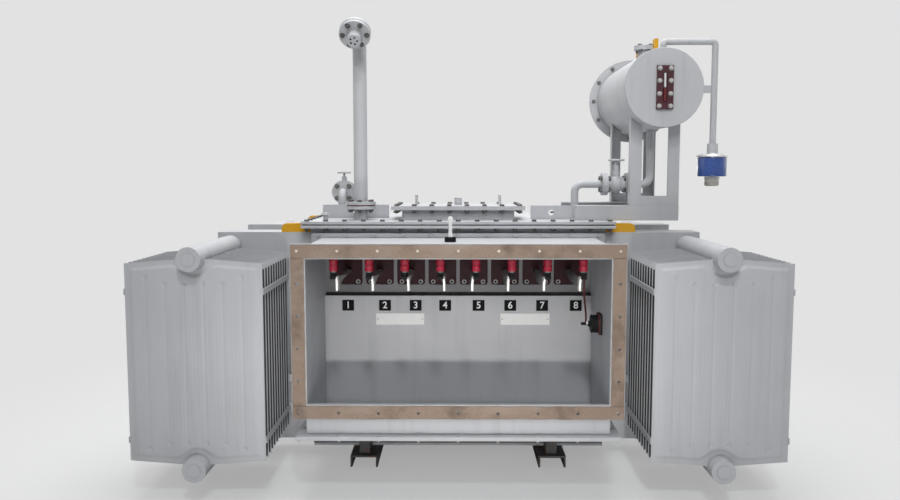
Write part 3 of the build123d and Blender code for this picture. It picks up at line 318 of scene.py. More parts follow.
grey = (0.475, 0.480, 0.498)
materials = {
    "grey_paint": enamel("grey_paint", grey, dirt=0.30, wear=0.25),
    "skid_paint": skid_paint(),
    "cork_gasket": cork_gasket(),
    "lid_rubber": rubber("lid_rubber", (0.055, 0.055, 0.058)),
    "vent_rubber": rubber("vent_rubber", (0.30, 0.075, 0.055)),
    "yellow_paint": enamel("yellow_paint", (0.66, 0.33, 0.004), dirt=0.15, wear=0.5),
    "terminal_board": terminal_board(),
    "red_insulator": cast_resin("red_insulator", (0.33, 0.004, 0.026)),
    "tinned_copper": bare_metal("tinned_copper", (0.84, 0.83, 0.80), 0.62, (1, 1, 6)),
    "black_bushing": plain_face("black_bushing", (0.010, 0.010, 0.011), 0.55),
    "earth_wire": rubber("earth_wire", (0.085, 0.018, 0.018)),
    "gauge_red": enamel("gauge_red", (0.050, 0.008, 0.015), dirt=0.2, wear=0.3),
    "bright_cap": bare_metal("bright_cap", (0.80, 0.81, 0.82), 0.36),
    "blue_gel": gel_jar(),
    "oil_cup": oil_cup(),
}
zinc = bare_metal("zinc", (0.50, 0.50, 0.49), 0.42)
dark_steel = bare_metal("dark_steel", (0.15, 0.145, 0.14), 0.46)
# Painted light: grey a little paler and with little painted corner shade, a lit copy of grey_paint for fin
# fronts and edges, lid, curb and flanges.
lit_grey_paint = enamel("lit_grey_paint", shade(grey, 1.02), dirt=0.30, wear=0.25, corner_shade=0.08)
# Painted shade: near-black grey for the faces between fins, where little light reaches.
gap_shade_paint = enamel("gap_shade_paint", (0.048, 0.054, 0.056), dirt=0.4, wear=0.2, roughness=0.6)
# Painted shade: the tank's front wall is darker below the cable box's top, where the inside of the box lies
# in shade.
wall_shade_below = ((0.150, 0.150, 0.156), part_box("box_top")[0].z)
wall_paint_shaded = enamel("wall_paint_shaded", grey, dirt=0.30, wear=0.3, corner_shade=0.2, below=wall_shade_below)
strap_metal = bare_metal("strap_metal", (0.40, 0.395, 0.385), 0.6)
dull_zinc = bare_metal("dull_zinc", (0.26, 0.255, 0.25), 0.6)
hole_light_paint = plain_face("hole_light_paint", (0.74, 0.68, 0.60), 0.5)
tag_black = plain_face("tag_black", (0.008, 0.008, 0.009), 0.75)
tag_white = plain_face("tag_white", (0.86, 0.86, 0.85), 0.5)
gauge_white = plain_face("gauge_white", (0.72, 0.73, 0.73), 0.2)
gauge_oil = cast_resin("gauge_oil", (0.095, 0.003, 0.007))


def paint_model():
    """Give each node of the model the material of its slot, and a few a variant of it: painted shade on the
    tank's front wall, painted light on the lid, curb and rear flange.
    """
    for part in frame["record"]["subparts"]:
        mesh = nodes[part["node"]].data
        mesh.materials.clear()
        mesh.materials.append(materials[part["material_slot"]])
    # The tank's front wall takes the grey with painted shade below the cable box's top.
    nodes["tank_front_wall"].data.materials[0] = wall_paint_shaded
    # Lid, curb and rear flange take the lit copy of the grey, painted light.
    for name in ("lid", "tank_curb", "box_rear_flange"):
        nodes[name].data.materials[0] = lit_grey_paint


# Mesh making

def along(point, axis, turn=0.0):
    """Placement at a point whose Z runs along axis, turned about it."""
    facing = Vector(axis).to_track_quat("Z", "Y").to_matrix().to_4x4()
    return Matrix.Translation(point) @ facing @ Matrix.Rotation(turn, 4, "Z")


def shift(x, y, z):
    return Matrix.Translation((x, y, z))


def run_at(points, i):
    """Direction of a line of points at one of them, from its neighbours."""
    return Vector(points[min(i + 1, len(points) - 1)]) - Vector(points[max(i - 1, 0)])


def circle_points(x, y, radius, count, start=0.0):
    turns = [start + 2 * math.pi * i / count for i in range(count)]
    return [(x + radius * math.cos(t), y + radius * math.sin(t)) for t in turns]


def ring_points(place, radius, count, start=0.0):
    """Places round a circle in a placement's XY plane."""
    return [place @ Vector((*p, 0)) for p in circle_points(0, 0, radius, count, start)]


def ring_walls(low, high, count):
    """Faces between two closed rings of points, numbered from low and from high."""
    pairs = [(i, (i + 1) % count) for i in range(count)]
    return [[low + i, low + k, high + k, high + i] for i, k in pairs]


class Shape:
    """A mesh in the making, gathered from many small forms."""

    def __init__(self):
        self.verts = []
        self.faces = []
        self.marks = []

    def add(self, verts, faces, place=None, marks=None):
        """Add a form; marks give the material number of each face."""
        start = len(self.verts)
        self.verts += [place @ Vector(v) if place else Vector(v) for v in verts]
        self.faces += [[start + i for i in face] for face in faces]
        self.marks += marks or [0] * len(faces)

    def lathe(self, profile, place, sides):
        """Turn (radius, height) points about Z; a radius of zero closes the form."""
        verts, rings, faces = [], [], []
        for radius, height in profile:
            count = sides if radius > 0 else 1
            rings.append(range(len(verts), len(verts) + count))
            verts += [(*p, height) for p in circle_points(0, 0, radius, count)]
        for low, high in zip(rings, rings[1:]):
            a, b = len(low), len(high)
            for i in range(sides):
                loop = [low[i % a], low[(i + 1) % a], high[(i + 1) % b], high[i % b]]
                faces.append(list(dict.fromkeys(loop)))
        self.add(verts, faces, place)

    def slab(self, size, place, chamfer):
        """Block centred on its placement, with every edge cut back."""
        x, y, z = (s / 2 for s in size)
        ring = [(x - chamfer, y), (x, y - chamfer), (x, chamfer - y), (x - chamfer, -y)]
        ring += [(-a, -b) for a, b in ring]
        inner = [(a * (1 - chamfer / x), b * (1 - chamfer / y)) for a, b in ring]
        levels = [(inner, -z), (ring, chamfer - z), (ring, z - chamfer), (inner, z)]
        verts = [(a, b, h) for outline, h in levels for a, b in outline]
        faces = [list(range(8))[::-1], list(range(24, 32))]
        for low in (0, 8, 16):
            faces += ring_walls(low, low + 8, 8)
        self.add(verts, faces, place)

    def strip(self, points, widths, thickness, across):
        """Flat strap through points, with a width and a direction across it at each."""
        verts = []
        for i, point in enumerate(points):
            side = Vector(across[i]).normalized()
            lift = run_at(points, i).cross(side).normalized() * thickness / 2
            reach = side * widths[i] / 2
            verts += [Vector(point) + a * reach + b * lift for a, b in ((-1, -1), (1, -1), (1, 1), (-1, 1))]
        last = 4 * (len(points) - 1)
        faces = [[3, 2, 1, 0], [last, last + 1, last + 2, last + 3]]
        for low in range(0, last, 4):
            faces += ring_walls(low, low + 4, 4)
        self.add(verts, faces)

    def plate(self, outline, holes, front, back):
        """Upright plate between two places along Y, from an outline and holes of (x, z) points."""
        loops = [outline] + holes
        rings = [[Vector((x, z, 0)) for x, z in loop] for loop in loops]
        flat = sum(rings, [])
        count = len(flat)
        verts = [(v.x, front, v.y) for v in flat] + [(v.x, back, v.y) for v in flat]
        faces = []
        for cell in tessellate_polygon(rings):
            a, b, c = (flat[i] for i in cell)
            ring = list(cell) if (b - a).cross(c - a).z > 0 else list(cell)[::-1]
            faces += [ring, [i + count for i in reversed(ring)]]
        start = 0
        for loop in loops:
            size = len(loop)
            area = sum(p[0] * q[1] - q[0] * p[1] for p, q in zip(loop, loop[1:] + loop[:1]))
            for i in range(size):
                a, b = start + i, start + (i + 1) % size
                wall = [a, a + count, b + count, b]
                faces.append(wall if (area > 0) == (loop is outline) else wall[::-1])
            start += size
        self.add(verts, faces)

    def bead(self, points, radius, ripple, closed=False):
        """Weld bead through points: a round rope with ripples."""
        sides = 6
        loop = points + points[:1] if closed else points
        verts = []
        for i, point in enumerate(loop):
            run = run_at(loop, i).normalized()
            size = radius * (1 + (0.16 if i % 2 else -0.10)) + chance.uniform(-ripple, ripple)
            verts += ring_points(along(point, run), size, sides)
        faces = []
        last = len(verts) - sides
        for low in range(0, last, sides):
            faces += ring_walls(low, low + sides, sides)
        faces += [list(range(sides))[::-1], list(range(last, len(verts)))]
        self.add(verts, faces)

    def words(self, text, height, place):
        """Raised plain lettering, centred on its placement."""
        curve = bpy.data.curves.new("lettering", "FONT")
        curve.body = text
        curve.size = height / 0.72
        curve.align_x = curve.align_y = "CENTER"
        curve.extrude = height * 0.012
        curve.offset = height * 0.018
        holder = bpy.data.objects.new("lettering", curve)
        mesh = bpy.data.meshes.new_from_object(holder)
        self.add([v.co for v in mesh.vertices], [list(p.vertices) for p in mesh.polygons], place)
        bpy.data.objects.remove(holder)
        bpy.data.curves.remove(curve)
        bpy.data.meshes.remove(mesh)

    def make(self, name, slot, material=None, body="transformer", replaces=(), sharp=35.0, inner=None):
        """Turn the forms into a piece that rides on a body, in its slot's material unless one is given."""
        mesh = bpy.data.meshes.new(name)
        mesh.from_pydata(self.verts, [], self.faces)
        mesh.polygons.foreach_set("material_index", self.marks)
        mesh.validate()
        mesh.polygons.foreach_set("use_smooth", [True] * len(mesh.polygons))
        mesh.set_sharp_from_angle(angle=math.radians(sharp))
        mesh.materials.append(material or materials[slot])
        if inner:
            mesh.materials.append(inner)
        piece = bpy.data.objects.new(name, mesh)
        put_in_scene(piece)
        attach(piece, body)
        if replaces:
            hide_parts(*replaces)


# Sizes of bolts, and the shares of a size that their forms have
M6, M7, M9, M10, M11, M12 = 0.006, 0.007, 0.009, 0.010, 0.011, 0.012
washer_share, across_share, head_share, nut_share = 0.10, 1.55, 0.60, 0.80


def hexagon(shape, place, across, height):
    """Bolt head or nut with its corners turned down."""
    corner = across / math.sqrt(3)
    profile = [(0, 0), (corner, 0), (corner, 0.82 * height), (0.84 * corner, height), (0, height)]
    shape.lathe(profile, place, sides=6)


def washer(shape, place, radius, thickness):
    profile = [(0, 0), (radius, 0), (radius, 0.7 * thickness), (0.94 * radius, thickness), (0, thickness)]
    shape.lathe(profile, place, sides=18)


def bolt(shape, point, axis, size, grip=0.0):
    """Hex bolt head with washer at a point; with a grip, also the nut and thread end beyond it."""
    axis = Vector(axis).normalized()
    plate, across = washer_share * size, across_share * size
    head = along(point, axis, chance.uniform(0, math.pi))
    washer(shape, head, size, plate)
    hexagon(shape, head @ shift(0, 0, plate), across, head_share * size)
    if grip:
        tail = along(Vector(point) - axis * grip, -axis, chance.uniform(0, math.pi))
        nut = nut_share * size
        stub = plate + nut + chance.uniform(0.2, 0.5) * size
        washer(shape, tail, size, plate)
        hexagon(shape, tail @ shift(0, 0, plate), across, nut)
        thread = [(size / 2, plate), (size / 2, stub - 0.1 * size), (0.4 * size, stub), (0, stub)]
        shape.lathe(thread, tail, sides=10)


def spread(low, high, count):
    """Evenly spaced values from low to high."""
    return [low + (high - low) * i / (count - 1) for i in range(count)]


def frame_points(x, y, count_x, count_y, centre=(0.0, 0.0)):
    """Places round a rectangle of half sides x and y, corners once."""
    rows = [(a, s * y) for a in spread(-x, x, count_x) for s in (-1, 1)]
    sides = [(s * x, b) for b in spread(-y, y, count_y)[1:-1] for s in (-1, 1)]
    return [(a + centre[0], b + centre[1]) for a, b in rows + sides]


def bolt_ring(shape, centre, axis, radius, count, size, grip=0.0, start=0.0):
    """Bolts on a circle round an axis."""
    for point in ring_points(along(centre, axis), radius, count, start):
        bolt(shape, point, axis, size, grip)


def straight(a, b, pitch):
    """Places from a to b about a pitch apart."""
    a, b = Vector(a), Vector(b)
    count = max(2, round((b - a).length / pitch))
    return [a.lerp(b, i / count) for i in range(count + 1)]


# Radiators: pressed fins, two sheets joined at a flat seam

fin_seam = 0.0013
fin_body = 0.0056
front_body = 0.0078
fin_side_seam = 0.017
fin_end_seam = 0.017
fin_collar = 0.015
fin_shoulder = 0.013
# fin_rim: strip along a fin's side edge that keeps the lit paint rather than the painted shade
fin_rim = 0.003
channel_count = 6
channel_pitch = 0.0725
channel_width = 0.024
channel_depth = 0.0017
dimple_radius = 0.011
dimple_depth = 0.0030
# lit_rows: rows at the top of a fin whose faces keep the lit paint rather than the painted shade
lit_rows = 6
outer_channel_ends = (0.066, 0.072)
inner_channel_ends = (0.087, 0.097)
rib_pitch = channel_pitch / 5
rib_height = 0.0005
rib_fade = 0.03
collar_blend = 0.03
fin_bead, fin_bead_ripple, fin_bead_points = 0.0022, 0.0005, 48
fin_corner_drop = 0.020
fin_count = 11
fin_thickness = 0.009
radiator_low, radiator_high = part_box("radiator_front_right")
headers_low, headers_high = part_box("radiator_headers")
header_x = (radiator_low.x + radiator_high.x) / 2
header_radius = headers_high.x - header_x
header_levels = (headers_low.z + header_radius, headers_high.z - header_radius)


def smooth_step(value, width):
    share = min(max(value / width, 0.0), 1.0)
    return share * share * (3 - 2 * share)


def soft_least(a, b, blend):
    """The lesser of two values, rounded where they meet."""
    share = min(max(0.5 + 0.5 * (b - a) / blend, 0.0), 1.0)
    return b + (a - b) * share - blend * share * (1 - share)


class Fin:
    """Outline and relief of one fin; u runs across from its middle, z is the height."""

    def __init__(self, width, low, high):
        self.half = width / 2
        self.low = low
        self.high = high

    def gable(self, u):
        return fin_corner_drop * abs(u) / self.half

    def ends(self, u):
        """Lower and upper edge at u, cut out round the headers."""
        low, high = self.low + self.gable(u), self.high - self.gable(u)
        if abs(u) < header_radius:
            rise = math.sqrt(header_radius ** 2 - u ** 2)
            low, high = max(low, self.low + rise), min(high, self.high - rise)
        return low, high

    def inside(self, u, z):
        """How far a point lies inside the raised body's outline."""
        ends = min(self.high - self.gable(u) - z, z - self.low - self.gable(u)) - fin_end_seam
        collar = min(math.hypot(u, z - self.low), math.hypot(u, z - self.high)) - header_radius - fin_collar
        return min(self.half - abs(u) - fin_side_seam, soft_least(ends, collar, collar_blend))

    def relief(self, u, z, pressed):
        """Half thickness of the fin at a point."""
        body = smooth_step(self.inside(u, z), fin_shoulder)
        height = fin_seam + ((front_body if pressed else fin_body) - fin_seam) * body
        if not pressed:
            return height
        for i in range(channel_count):
            offset = abs(u - (i - (channel_count - 1) / 2) * channel_pitch)
            if offset < channel_width:
                outer = i in (0, channel_count - 1)
                below, above = outer_channel_ends if outer else inner_channel_ends
                past = max(self.low + below - z, z - self.high + above, 0.0)
                reach = channel_width / 2 - math.hypot(offset, past)
                depth = channel_depth * smooth_step(reach, channel_width / 2)
                for end in (self.low + below, self.high - above):
                    reach = math.hypot(offset, z - end)
                    depth += dimple_depth * smooth_step(dimple_radius - reach, 0.6 * dimple_radius)
                height -= depth * body
        middle = min(z - self.low, self.high - z) - inner_channel_ends[1]
        ribs = 0.5 + 0.5 * math.cos(2 * math.pi * u / rib_pitch)
        return height + rib_height * ribs * smooth_step(middle, rib_fade)

    def add_to(self, shape, middle, y, columns, rows, pressed=False, outer_side=None):
        """One fin at y, both faces and its edge; the faces between fins take the second material, painted
        shade.
        """
        verts, faces, marks = [], [], []
        across, up = len(columns), len(rows)
        for face in (-1, 1):
            for u in columns:
                low, high = self.ends(u)
                for share in rows:
                    z = low + (high - low) * share
                    verts.append((middle + u, y + face * self.relief(u, z, pressed), z))
        for side in (0, 1):
            start = side * across * up
            for i in range(across - 1):
                for k in range(up - 1):
                    a = start + i * up + k
                    loop = [a, a + up, a + up + 1, a + 1]
                    faces.append(loop if side == 0 else loop[::-1])
                    # Painted light and shade: side-edge strips, the bottom row, the top rows and the outer
                    # faces of the end fins take the lit paint, the rest of the faces between fins the
                    # painted shade.
                    edge = i in (0, across - 2) or k == 0 or k > up - 2 - lit_rows
                    marks.append(0 if edge or side == outer_side else 1)
        rim = [i * up for i in range(across)] + [(across - 1) * up + k for k in range(1, up)]
        rim += [i * up + up - 1 for i in reversed(range(across - 1))] + list(range(up - 2, 0, -1))
        for a, b in zip(rim, rim[1:] + rim[:1]):
            faces.append([a, a + across * up, b + across * up, b])
            marks.append(0)
        shape.add(verts, faces, marks=marks)


def fin_columns(half, step):
    """Places across a fin, closer at its seams and where the header cuts it."""
    edge = [0.0, fin_rim, fin_side_seam, fin_side_seam + fin_shoulder / 2, fin_side_seam + fin_shoulder]
    values = {half - e for e in edge}
    values |= {header_radius * s for s in (1.002, 0.999, 0.99, 0.96, 0.9, 0.8, 0.65)}
    plain = int((half - edge[-1]) / step)
    values |= {round(i * step, 5) for i in range(plain)}
    rows = sorted(values)
    return [-v for v in rows[::-1] if v > 0] + rows


def fin_rows(fine):
    """Shares of the way up a fin, closer at both ends."""
    end = [0.0, 0.005, 0.014, 0.021, 0.026, 0.031, 0.036, 0.040]
    if fine:
        end += [0.046 + 0.006 * i for i in range(4)] + [0.067 + 0.0026 * i for i in range(28)]
    middle = [0.19, 0.26, 0.35, 0.45] if fine else [0.2]
    low = end + middle
    return low + [0.5] + [1 - v for v in reversed(low)]


def make_radiators():
    """Fins in place of the plain ones, with the beads that join them to their headers."""
    for corner, outer in (("front_left", -1), ("front_right", -1), ("rear_left", 1), ("rear_right", 1)):
        node = "radiator_" + corner
        low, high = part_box(node)
        fin = Fin(high.x - low.x, *header_levels)
        places = spread(low.y + fin_thickness / 2, high.y - fin_thickness / 2, fin_count)[::-outer]
        shape, beads = Shape(), Shape()
        middle = (low.x + high.x) / 2
        outer_side = 0 if outer < 0 else 1
        fine, medium, coarse = (fin_columns(fin.half, step) for step in (0.0036, 0.006, 0.05))
        fin.add_to(shape, middle, places[0], fine, fin_rows(True), True, outer_side)
        for y in places[1:-1]:
            fin.add_to(shape, middle, y, coarse, fin_rows(False))
        fin.add_to(shape, middle, places[-1], medium, fin_rows(True), True, 1 - outer_side)
        # The fins take the lit grey outside and the painted shade on the faces between fins.
        shape.make(node + "_fins", "grey_paint", lit_grey_paint, replaces=[node], sharp=50.0, inner=gap_shade_paint)
        for y in places:
            for z, side in zip(header_levels, (1, -1)):
                place = along((middle, y + outer * fin_seam, z), FRONT)
                ring = ring_points(place, header_radius + 0.001, fin_bead_points)
                half = [p for p in (place.inverted() @ q for q in ring) if side * p.y > -0.001]
                half.sort(key=lambda p: math.atan2(side * p.y, p.x))
                beads.bead([place @ p for p in half], fin_bead, fin_bead_ripple)
        beads.make(node + "_beads", "grey_paint", lit_grey_paint, sharp=60.0)


# Bolts

frame_reach = 0.024  # how far the frame stands in front of the cable box's rear flange
eighth = math.pi / 4


def bolt_set(name, points, axis, size, grip=0.0, painted=False):
    """Piece made of bolts at points; painted ones are grey."""
    shape = Shape()
    for point in points:
        bolt(shape, point, axis, size, grip)
    if painted:
        shape.make(name, "grey_paint")
    else:
        shape.make(name, "tinned_copper", dark_steel)


def ring_set(name, *rings):
    """Piece made of bolt circles, each given as bolt_ring takes it."""
    shape = Shape()
    for ring in rings:
        bolt_ring(shape, *ring)
    shape.make(name, "tinned_copper", dark_steel)


def make_tank_bolts():
    """Bolts of the lid, the cable box's rear flange, the gland plate and the rear cover."""
    inset_x, inset_y = 0.0222, 0.025
    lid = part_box("lid")[1]
    places = frame_points(lid.x - inset_x, lid.y - inset_y, 17, 10)
    bolt_set("lid_bolts", [(*p, lid.z) for p in places], UP, M12, lid.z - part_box("tank_curb")[0].z)

    inset_x, inset_z = 0.0215, 0.075
    low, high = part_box("box_rear_flange")
    columns = (low.x + inset_x, high.x - inset_x)
    rows = spread(low.z + inset_z, high.z - inset_z, 7)
    points = [(x, low.y - frame_reach, z) for z in rows for x in columns]
    bolt_set("box_flange_bolts", points, FRONT, M12, painted=True)

    front_x, front_y, side_x, first_y, last_y = 0.014, 0.012, 0.018, 0.115, 0.060
    low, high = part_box("gland_plate")
    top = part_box("box_bottom_flange")[1].z
    points = [(x, low.y + front_y, top) for x in spread(low.x + front_x, high.x - front_x, 9)]
    columns = (low.x + side_x, high.x - side_x)
    points += [(x, y, top) for y in spread(low.y + first_y, high.y - last_y, 4) for x in columns]
    bolt_set("gland_plate_bolts", points, UP, M7, top - low.z, painted=True)

    inset, grip = 0.020, 0.022
    low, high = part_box("hv_box_cover")
    centre, half = (low + high) / 2, (high - low) / 2
    places = frame_points(half.x - inset, half.z - inset, 9, 7, (centre.x, centre.z))
    bolt_set("hv_cover_bolts", [(x, high.y, z) for x, z in places], REAR, M12, grip)


def make_lid_bolts():
    """Bolts of the turret, vent, filter valve, relay valve and conservator."""
    inset_x, inset_y, plate, grip = 0.023, 0.0185, 0.010, 0.018
    low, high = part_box("turret_cover")
    centre, half = (low + high) / 2, (high - low) / 2
    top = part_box("inspection_turret")[1].z + plate
    places = frame_points(half.x - inset_x, half.y - inset_y, 8, 5, (centre.x, centre.y))
    bolt_set("turret_bolts", [(*p, top) for p in places], UP, M12, grip)

    joint, flange, circle = 0.033, 0.014, 0.051
    gasket, pipe, bend, turn = 0.005, 0.664, 0.090, math.radians(130)
    low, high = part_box("vent_neck")
    axis = (low + high) / 2
    foot = (axis.x, axis.y, high.z + joint - flange)
    facing = Vector((0, -math.sin(turn), math.cos(turn)))
    bend_low = high.z + gasket + pipe
    mouth = Vector((axis.x, axis.y - bend + bend * math.cos(turn), bend_low + bend * math.sin(turn)))
    ring_set(
        "vent_bolts",
        (foot, UP, circle, 6, M12, joint, math.pi / 6),
        (mouth + facing * joint, facing, circle, 6, M11, joint),
    )

    flange, circle = 0.012, 0.040
    low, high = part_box("filter_valve")
    centre = centre_of("filter_blank")
    points = [(centre.x, y - flange, centre.z) for y in (low.y, high.y)]
    ring_set("filter_bolts", *((p, FRONT, circle, 4, M12, 2 * flange, eighth) for p in points))

    flange, circle, rise = 0.013, 0.037, 0.050
    low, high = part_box("relay_valve")
    points = [(x - flange, (low.y + high.y) / 2, low.z + rise) for x in (low.x, high.x)]
    ring_set("relay_bolts", *((p, LEFT, circle, 4, M12, 2 * flange, eighth) for p in points))

    flange, circle, filler_circle, filler_grip = 0.012, 0.184, 0.035, 0.020
    centre = centre_of("conservator_cover")
    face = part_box("conservator_cover")[0].y - flange
    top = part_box("conservator_shell")[1].z
    ring_set(
        "conservator_bolts",
        ((centre.x, face, centre.z), FRONT, circle, 12, M10, 2 * flange),
        ((centre.x, 0.0, top), UP, filler_circle, 4, M10, filler_grip, eighth),
    )


# Terminals

bay_count = 8
insulator_radius = 0.0165
foot_height, cap_height = 0.019, 0.0055
cap_profile = [
    (0.0106, 0), (0.0118, 0.0006), (0.0122, 0.0020), (0.0122, cap_height - 0.0008), (0.0106, cap_height),
]
nut_across, nut_gap = 0.0245, 0.0005
nose_size, nose_shift, nose_level = (0.024, 0.040, 0.012), 0.004, 0.005
washer_spread, washer_rise = 0.041, 0.018
washer_profile = [(0.0048, 0), (0.0102, 0), (0.0102, 0.0018), (0.0094, 0.0026), (0.0048, 0.0026)]
socket_across, socket_height = 0.0090, 0.0022
flag_shift, flag_width, flag_thickness = 0.015, 0.040, 0.008
flag_bend_low, flag_bend_high, flag_top_gap, flag_top_shift = 0.030, 0.042, 0.002, 0.003
strap_layers, strap_gap, strap_thickness = 3, 0.0022, 0.0016
strap_level, strap_overlap = 0.024, 0.004
# Along a strap: share of the way back, drop, share of the way sideways, width and direction across
strap_stations = (
    (0.00, 0.000, 0.00, 0.036, (0, 0, 1)),
    (0.18, 0.004, 0.05, 0.036, (0.15, 0, 1)),
    (0.40, 0.010, 0.25, 0.032, (0.5, 0, 0.9)),
    (0.66, 0.013, 0.70, 0.028, (0.9, 0, 0.5)),
    (0.90, 0.013, 1.00, 0.026, (1, 0, 0.15)),
    (1.00, 0.013, 1.00, 0.026, (1, 0, 0.1)),
)
strap_bolt_inset, strap_bolt_drop = 0.012, 0.010


def add_straps(shape, start, end):
    """Flat layers that twist on their way from a flag to the board."""
    widths = [station[3] for station in strap_stations]
    turns = [station[4] for station in strap_stations]
    aside_run, back_run = end[0] - start[0], end[1] - start[1]
    for layer in range(strap_layers):
        points = []
        for back, drop, aside, _, across in strap_stations:
            x = start[0] + aside_run * aside + strap_gap * (layer - 1) * across[2]
            y = start[1] + back_run * back - strap_overlap
            points.append((x, y, start[2] - drop + strap_gap * layer * across[0]))
        shape.strip(points, widths, strap_thickness, turns)


def make_terminals():
    """Caps, nuts, flags and straps of the insulators, board washers, and a dark strip behind the label
    panel's top that paints the shade in the gap there.
    """
    low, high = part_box("insulators")
    axis_y = (low.y + high.y) / 2
    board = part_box("terminal_boards")[0]
    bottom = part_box("busbars")[0].z
    caps, nuts, rings, sockets, flags, straps = (Shape() for _ in range(6))
    for x in spread(low.x + insulator_radius, high.x - insulator_radius, bay_count):
        caps.lathe(cap_profile, along((x, axis_y, low.z + foot_height - cap_height), UP), 28)
        nut = along((x, axis_y, low.z + nut_gap), UP, chance.uniform(0, math.pi))
        hexagon(nuts, nut, nut_across, foot_height - cap_height - nut_gap)
        nose = shift(x, axis_y - nose_shift, low.z - nose_level)
        nuts.slab(nose_size, nose, 0.002)
        for side in (-1, 1):
            face = along((x + side * washer_spread, board.y, board.z + washer_rise), FRONT)
            rings.lathe(washer_profile, face, 28)
            hexagon(sockets, face, socket_across, socket_height)
        inward = -math.copysign(1, x)
        flag_x = x + inward * flag_shift
        lean = chance.uniform(0.001, 0.005) * -inward
        path = [
            (flag_x, axis_y, bottom),
            (flag_x + 0.1 * lean, axis_y, bottom + flag_bend_low),
            (flag_x + 0.5 * lean, axis_y, bottom + flag_bend_high),
            (flag_x + 1.6 * lean, axis_y + flag_top_shift, low.z - flag_top_gap),
        ]
        flags.strip(path, [flag_width] * 4, flag_thickness, [(0, 1, 0)] * 4)
        level = low.z - strap_level
        add_straps(straps, (flag_x, axis_y + flag_width / 2, level), (x, board.y, level))
        bolt(straps, (x, board.y - strap_bolt_inset, level - strap_bolt_drop), UP, M10)
    caps.make("insulator_caps", "bright_cap", dull_zinc)
    nuts.make("insulator_nuts", "black_bushing")
    rings.make("board_washers", "bright_cap", dull_zinc)
    sockets.make("board_screws", "black_bushing", tag_black)
    flags.make("terminal_flags", "tinned_copper", replaces=["busbars"])
    straps.make("flexible_straps", "tinned_copper", strap_metal)

    # Painted shade: a dark strip on the wall just above the label panel's top, where the gap behind the
    # panel lies in shade.
    height, depth, rise = 0.018, 0.007, 0.002
    wall, slack = 0.006, 0.004
    walls_low, walls_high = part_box("box_side_walls")
    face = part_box("tank_front_wall")[0].y
    length = walls_high.x - walls_low.x - 2 * wall - slack
    gap_shade_strip = Shape()
    place = shift(0, face - depth / 2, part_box("label_panel")[1].z + rise)
    gap_shade_strip.slab((length, depth, height), place, 0.002)
    gap_shade_strip.make("panel_gap_shade", "lid_rubber")


# Mouth of the cable box

def ragged(low, high, step=0.03, play=0.0009):
    """Outline of a hand-cut strip between two (x, z) corners."""
    corners = [(low[0], low[1]), (high[0], low[1]), (high[0], high[1]), (low[0], high[1])]
    points = []
    for a, b in zip(corners, corners[1:] + corners[:1]):
        along_x = a[1] == b[1]
        count = max(2, round(math.dist(a, b) / step))
        for i in range(count):
            x, z = a[0] + (b[0] - a[0]) * i / count, a[1] + (b[1] - a[1]) * i / count
            off = chance.uniform(-play, play) if i else 0.0
            points.append((x, z + off) if along_x else (x + off, z))
    return points


film = 0.0003  # gap that keeps two faces apart


def make_mouth():
    """Cork strips on the mouth's flange, and pale discs in its upper holes that paint the light seen
    through them.
    """
    rim, band, joint, lip, bore = 0.003, 0.050, 0.0012, 0.0215, 0.0055
    low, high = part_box("box_front_flange")
    gasket_low, gasket_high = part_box("box_front_gasket")
    row_low, row_high = gasket_low.z + lip, gasket_high.z - lip
    edge = gasket_high.x - lip
    columns = spread(-edge, edge, 9)
    rows = spread(row_low, row_high, 6)[1:-1]
    left, right = low.x + rim, high.x - rim
    bottom, top = low.z + rim, high.z - rim
    front, back = gasket_low.y, low.y - film
    strips = (
        ((left, top - band), (right, top), [(x, row_high) for x in columns]),
        ((left, bottom), (right, bottom + band), [(x, row_low) for x in columns]),
        ((left, bottom + band + joint), (left + band, top - band - joint), [(-edge, z) for z in rows]),
        ((right - band, bottom + band + joint), (right, top - band - joint), [(edge, z) for z in rows]),
    )
    gasket = Shape()
    for start, end, holes in strips:
        gasket.plate(ragged(start, end), [circle_points(x, z, bore, 20) for x, z in holes], front, back)
    gasket.make("mouth_gasket", "cork_gasket", replaces=["box_front_gasket"])

    # Painted light: pale discs set in the upper holes stand for the light that shows through them.
    depth = 0.0045
    profile = [(0, 0), (0.0054, 0), (0.0054, 0.0020), (0.0044, 0.0030), (0.0022, 0.0036), (0, 0.0038)]
    hole_lights = Shape()
    for x in columns:
        hole_lights.lathe(profile, along((x, front + depth, row_high), FRONT), 20)
    hole_lights.make("mouth_hole_lights", "bright_cap", hole_light_paint)


def make_flange_frame():
    """Plate in front of the cable box's rear flange, open below, with bolts along its top."""
    corner, bend, rise, inset = 0.014, 6, 0.020, 0.006
    side_gap, top_gap, bolt_side, bolt_drop = 0.002, 0.0005, 0.605, 0.0098
    low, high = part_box("box_rear_flange")
    box_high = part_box("box_top")[1]
    side, top, foot = high.x - inset, high.z, low.z + rise
    inner_side, inner_top = box_high.x + side_gap, box_high.z + top_gap
    turns = [math.pi / 2 * i / bend for i in range(bend + 1)]
    arc = [(side - corner + corner * math.cos(t), top - corner + corner * math.sin(t)) for t in turns]
    right = [(side, foot)] + arc
    left = [(-x, z) for x, z in reversed(right)]
    inner = [(inner_side, foot), (inner_side, inner_top)]
    inner = [(-x, z) for x, z in inner] + inner[::-1]
    front = low.y - frame_reach
    shape = Shape()
    shape.plate(right + left + inner, [], front, low.y - film)
    for x in spread(-bolt_side, bolt_side, 11):
        bolt(shape, (x, front, top - bolt_drop), FRONT, M9)
    shape.make("box_flange_frame", "grey_paint", lit_grey_paint)


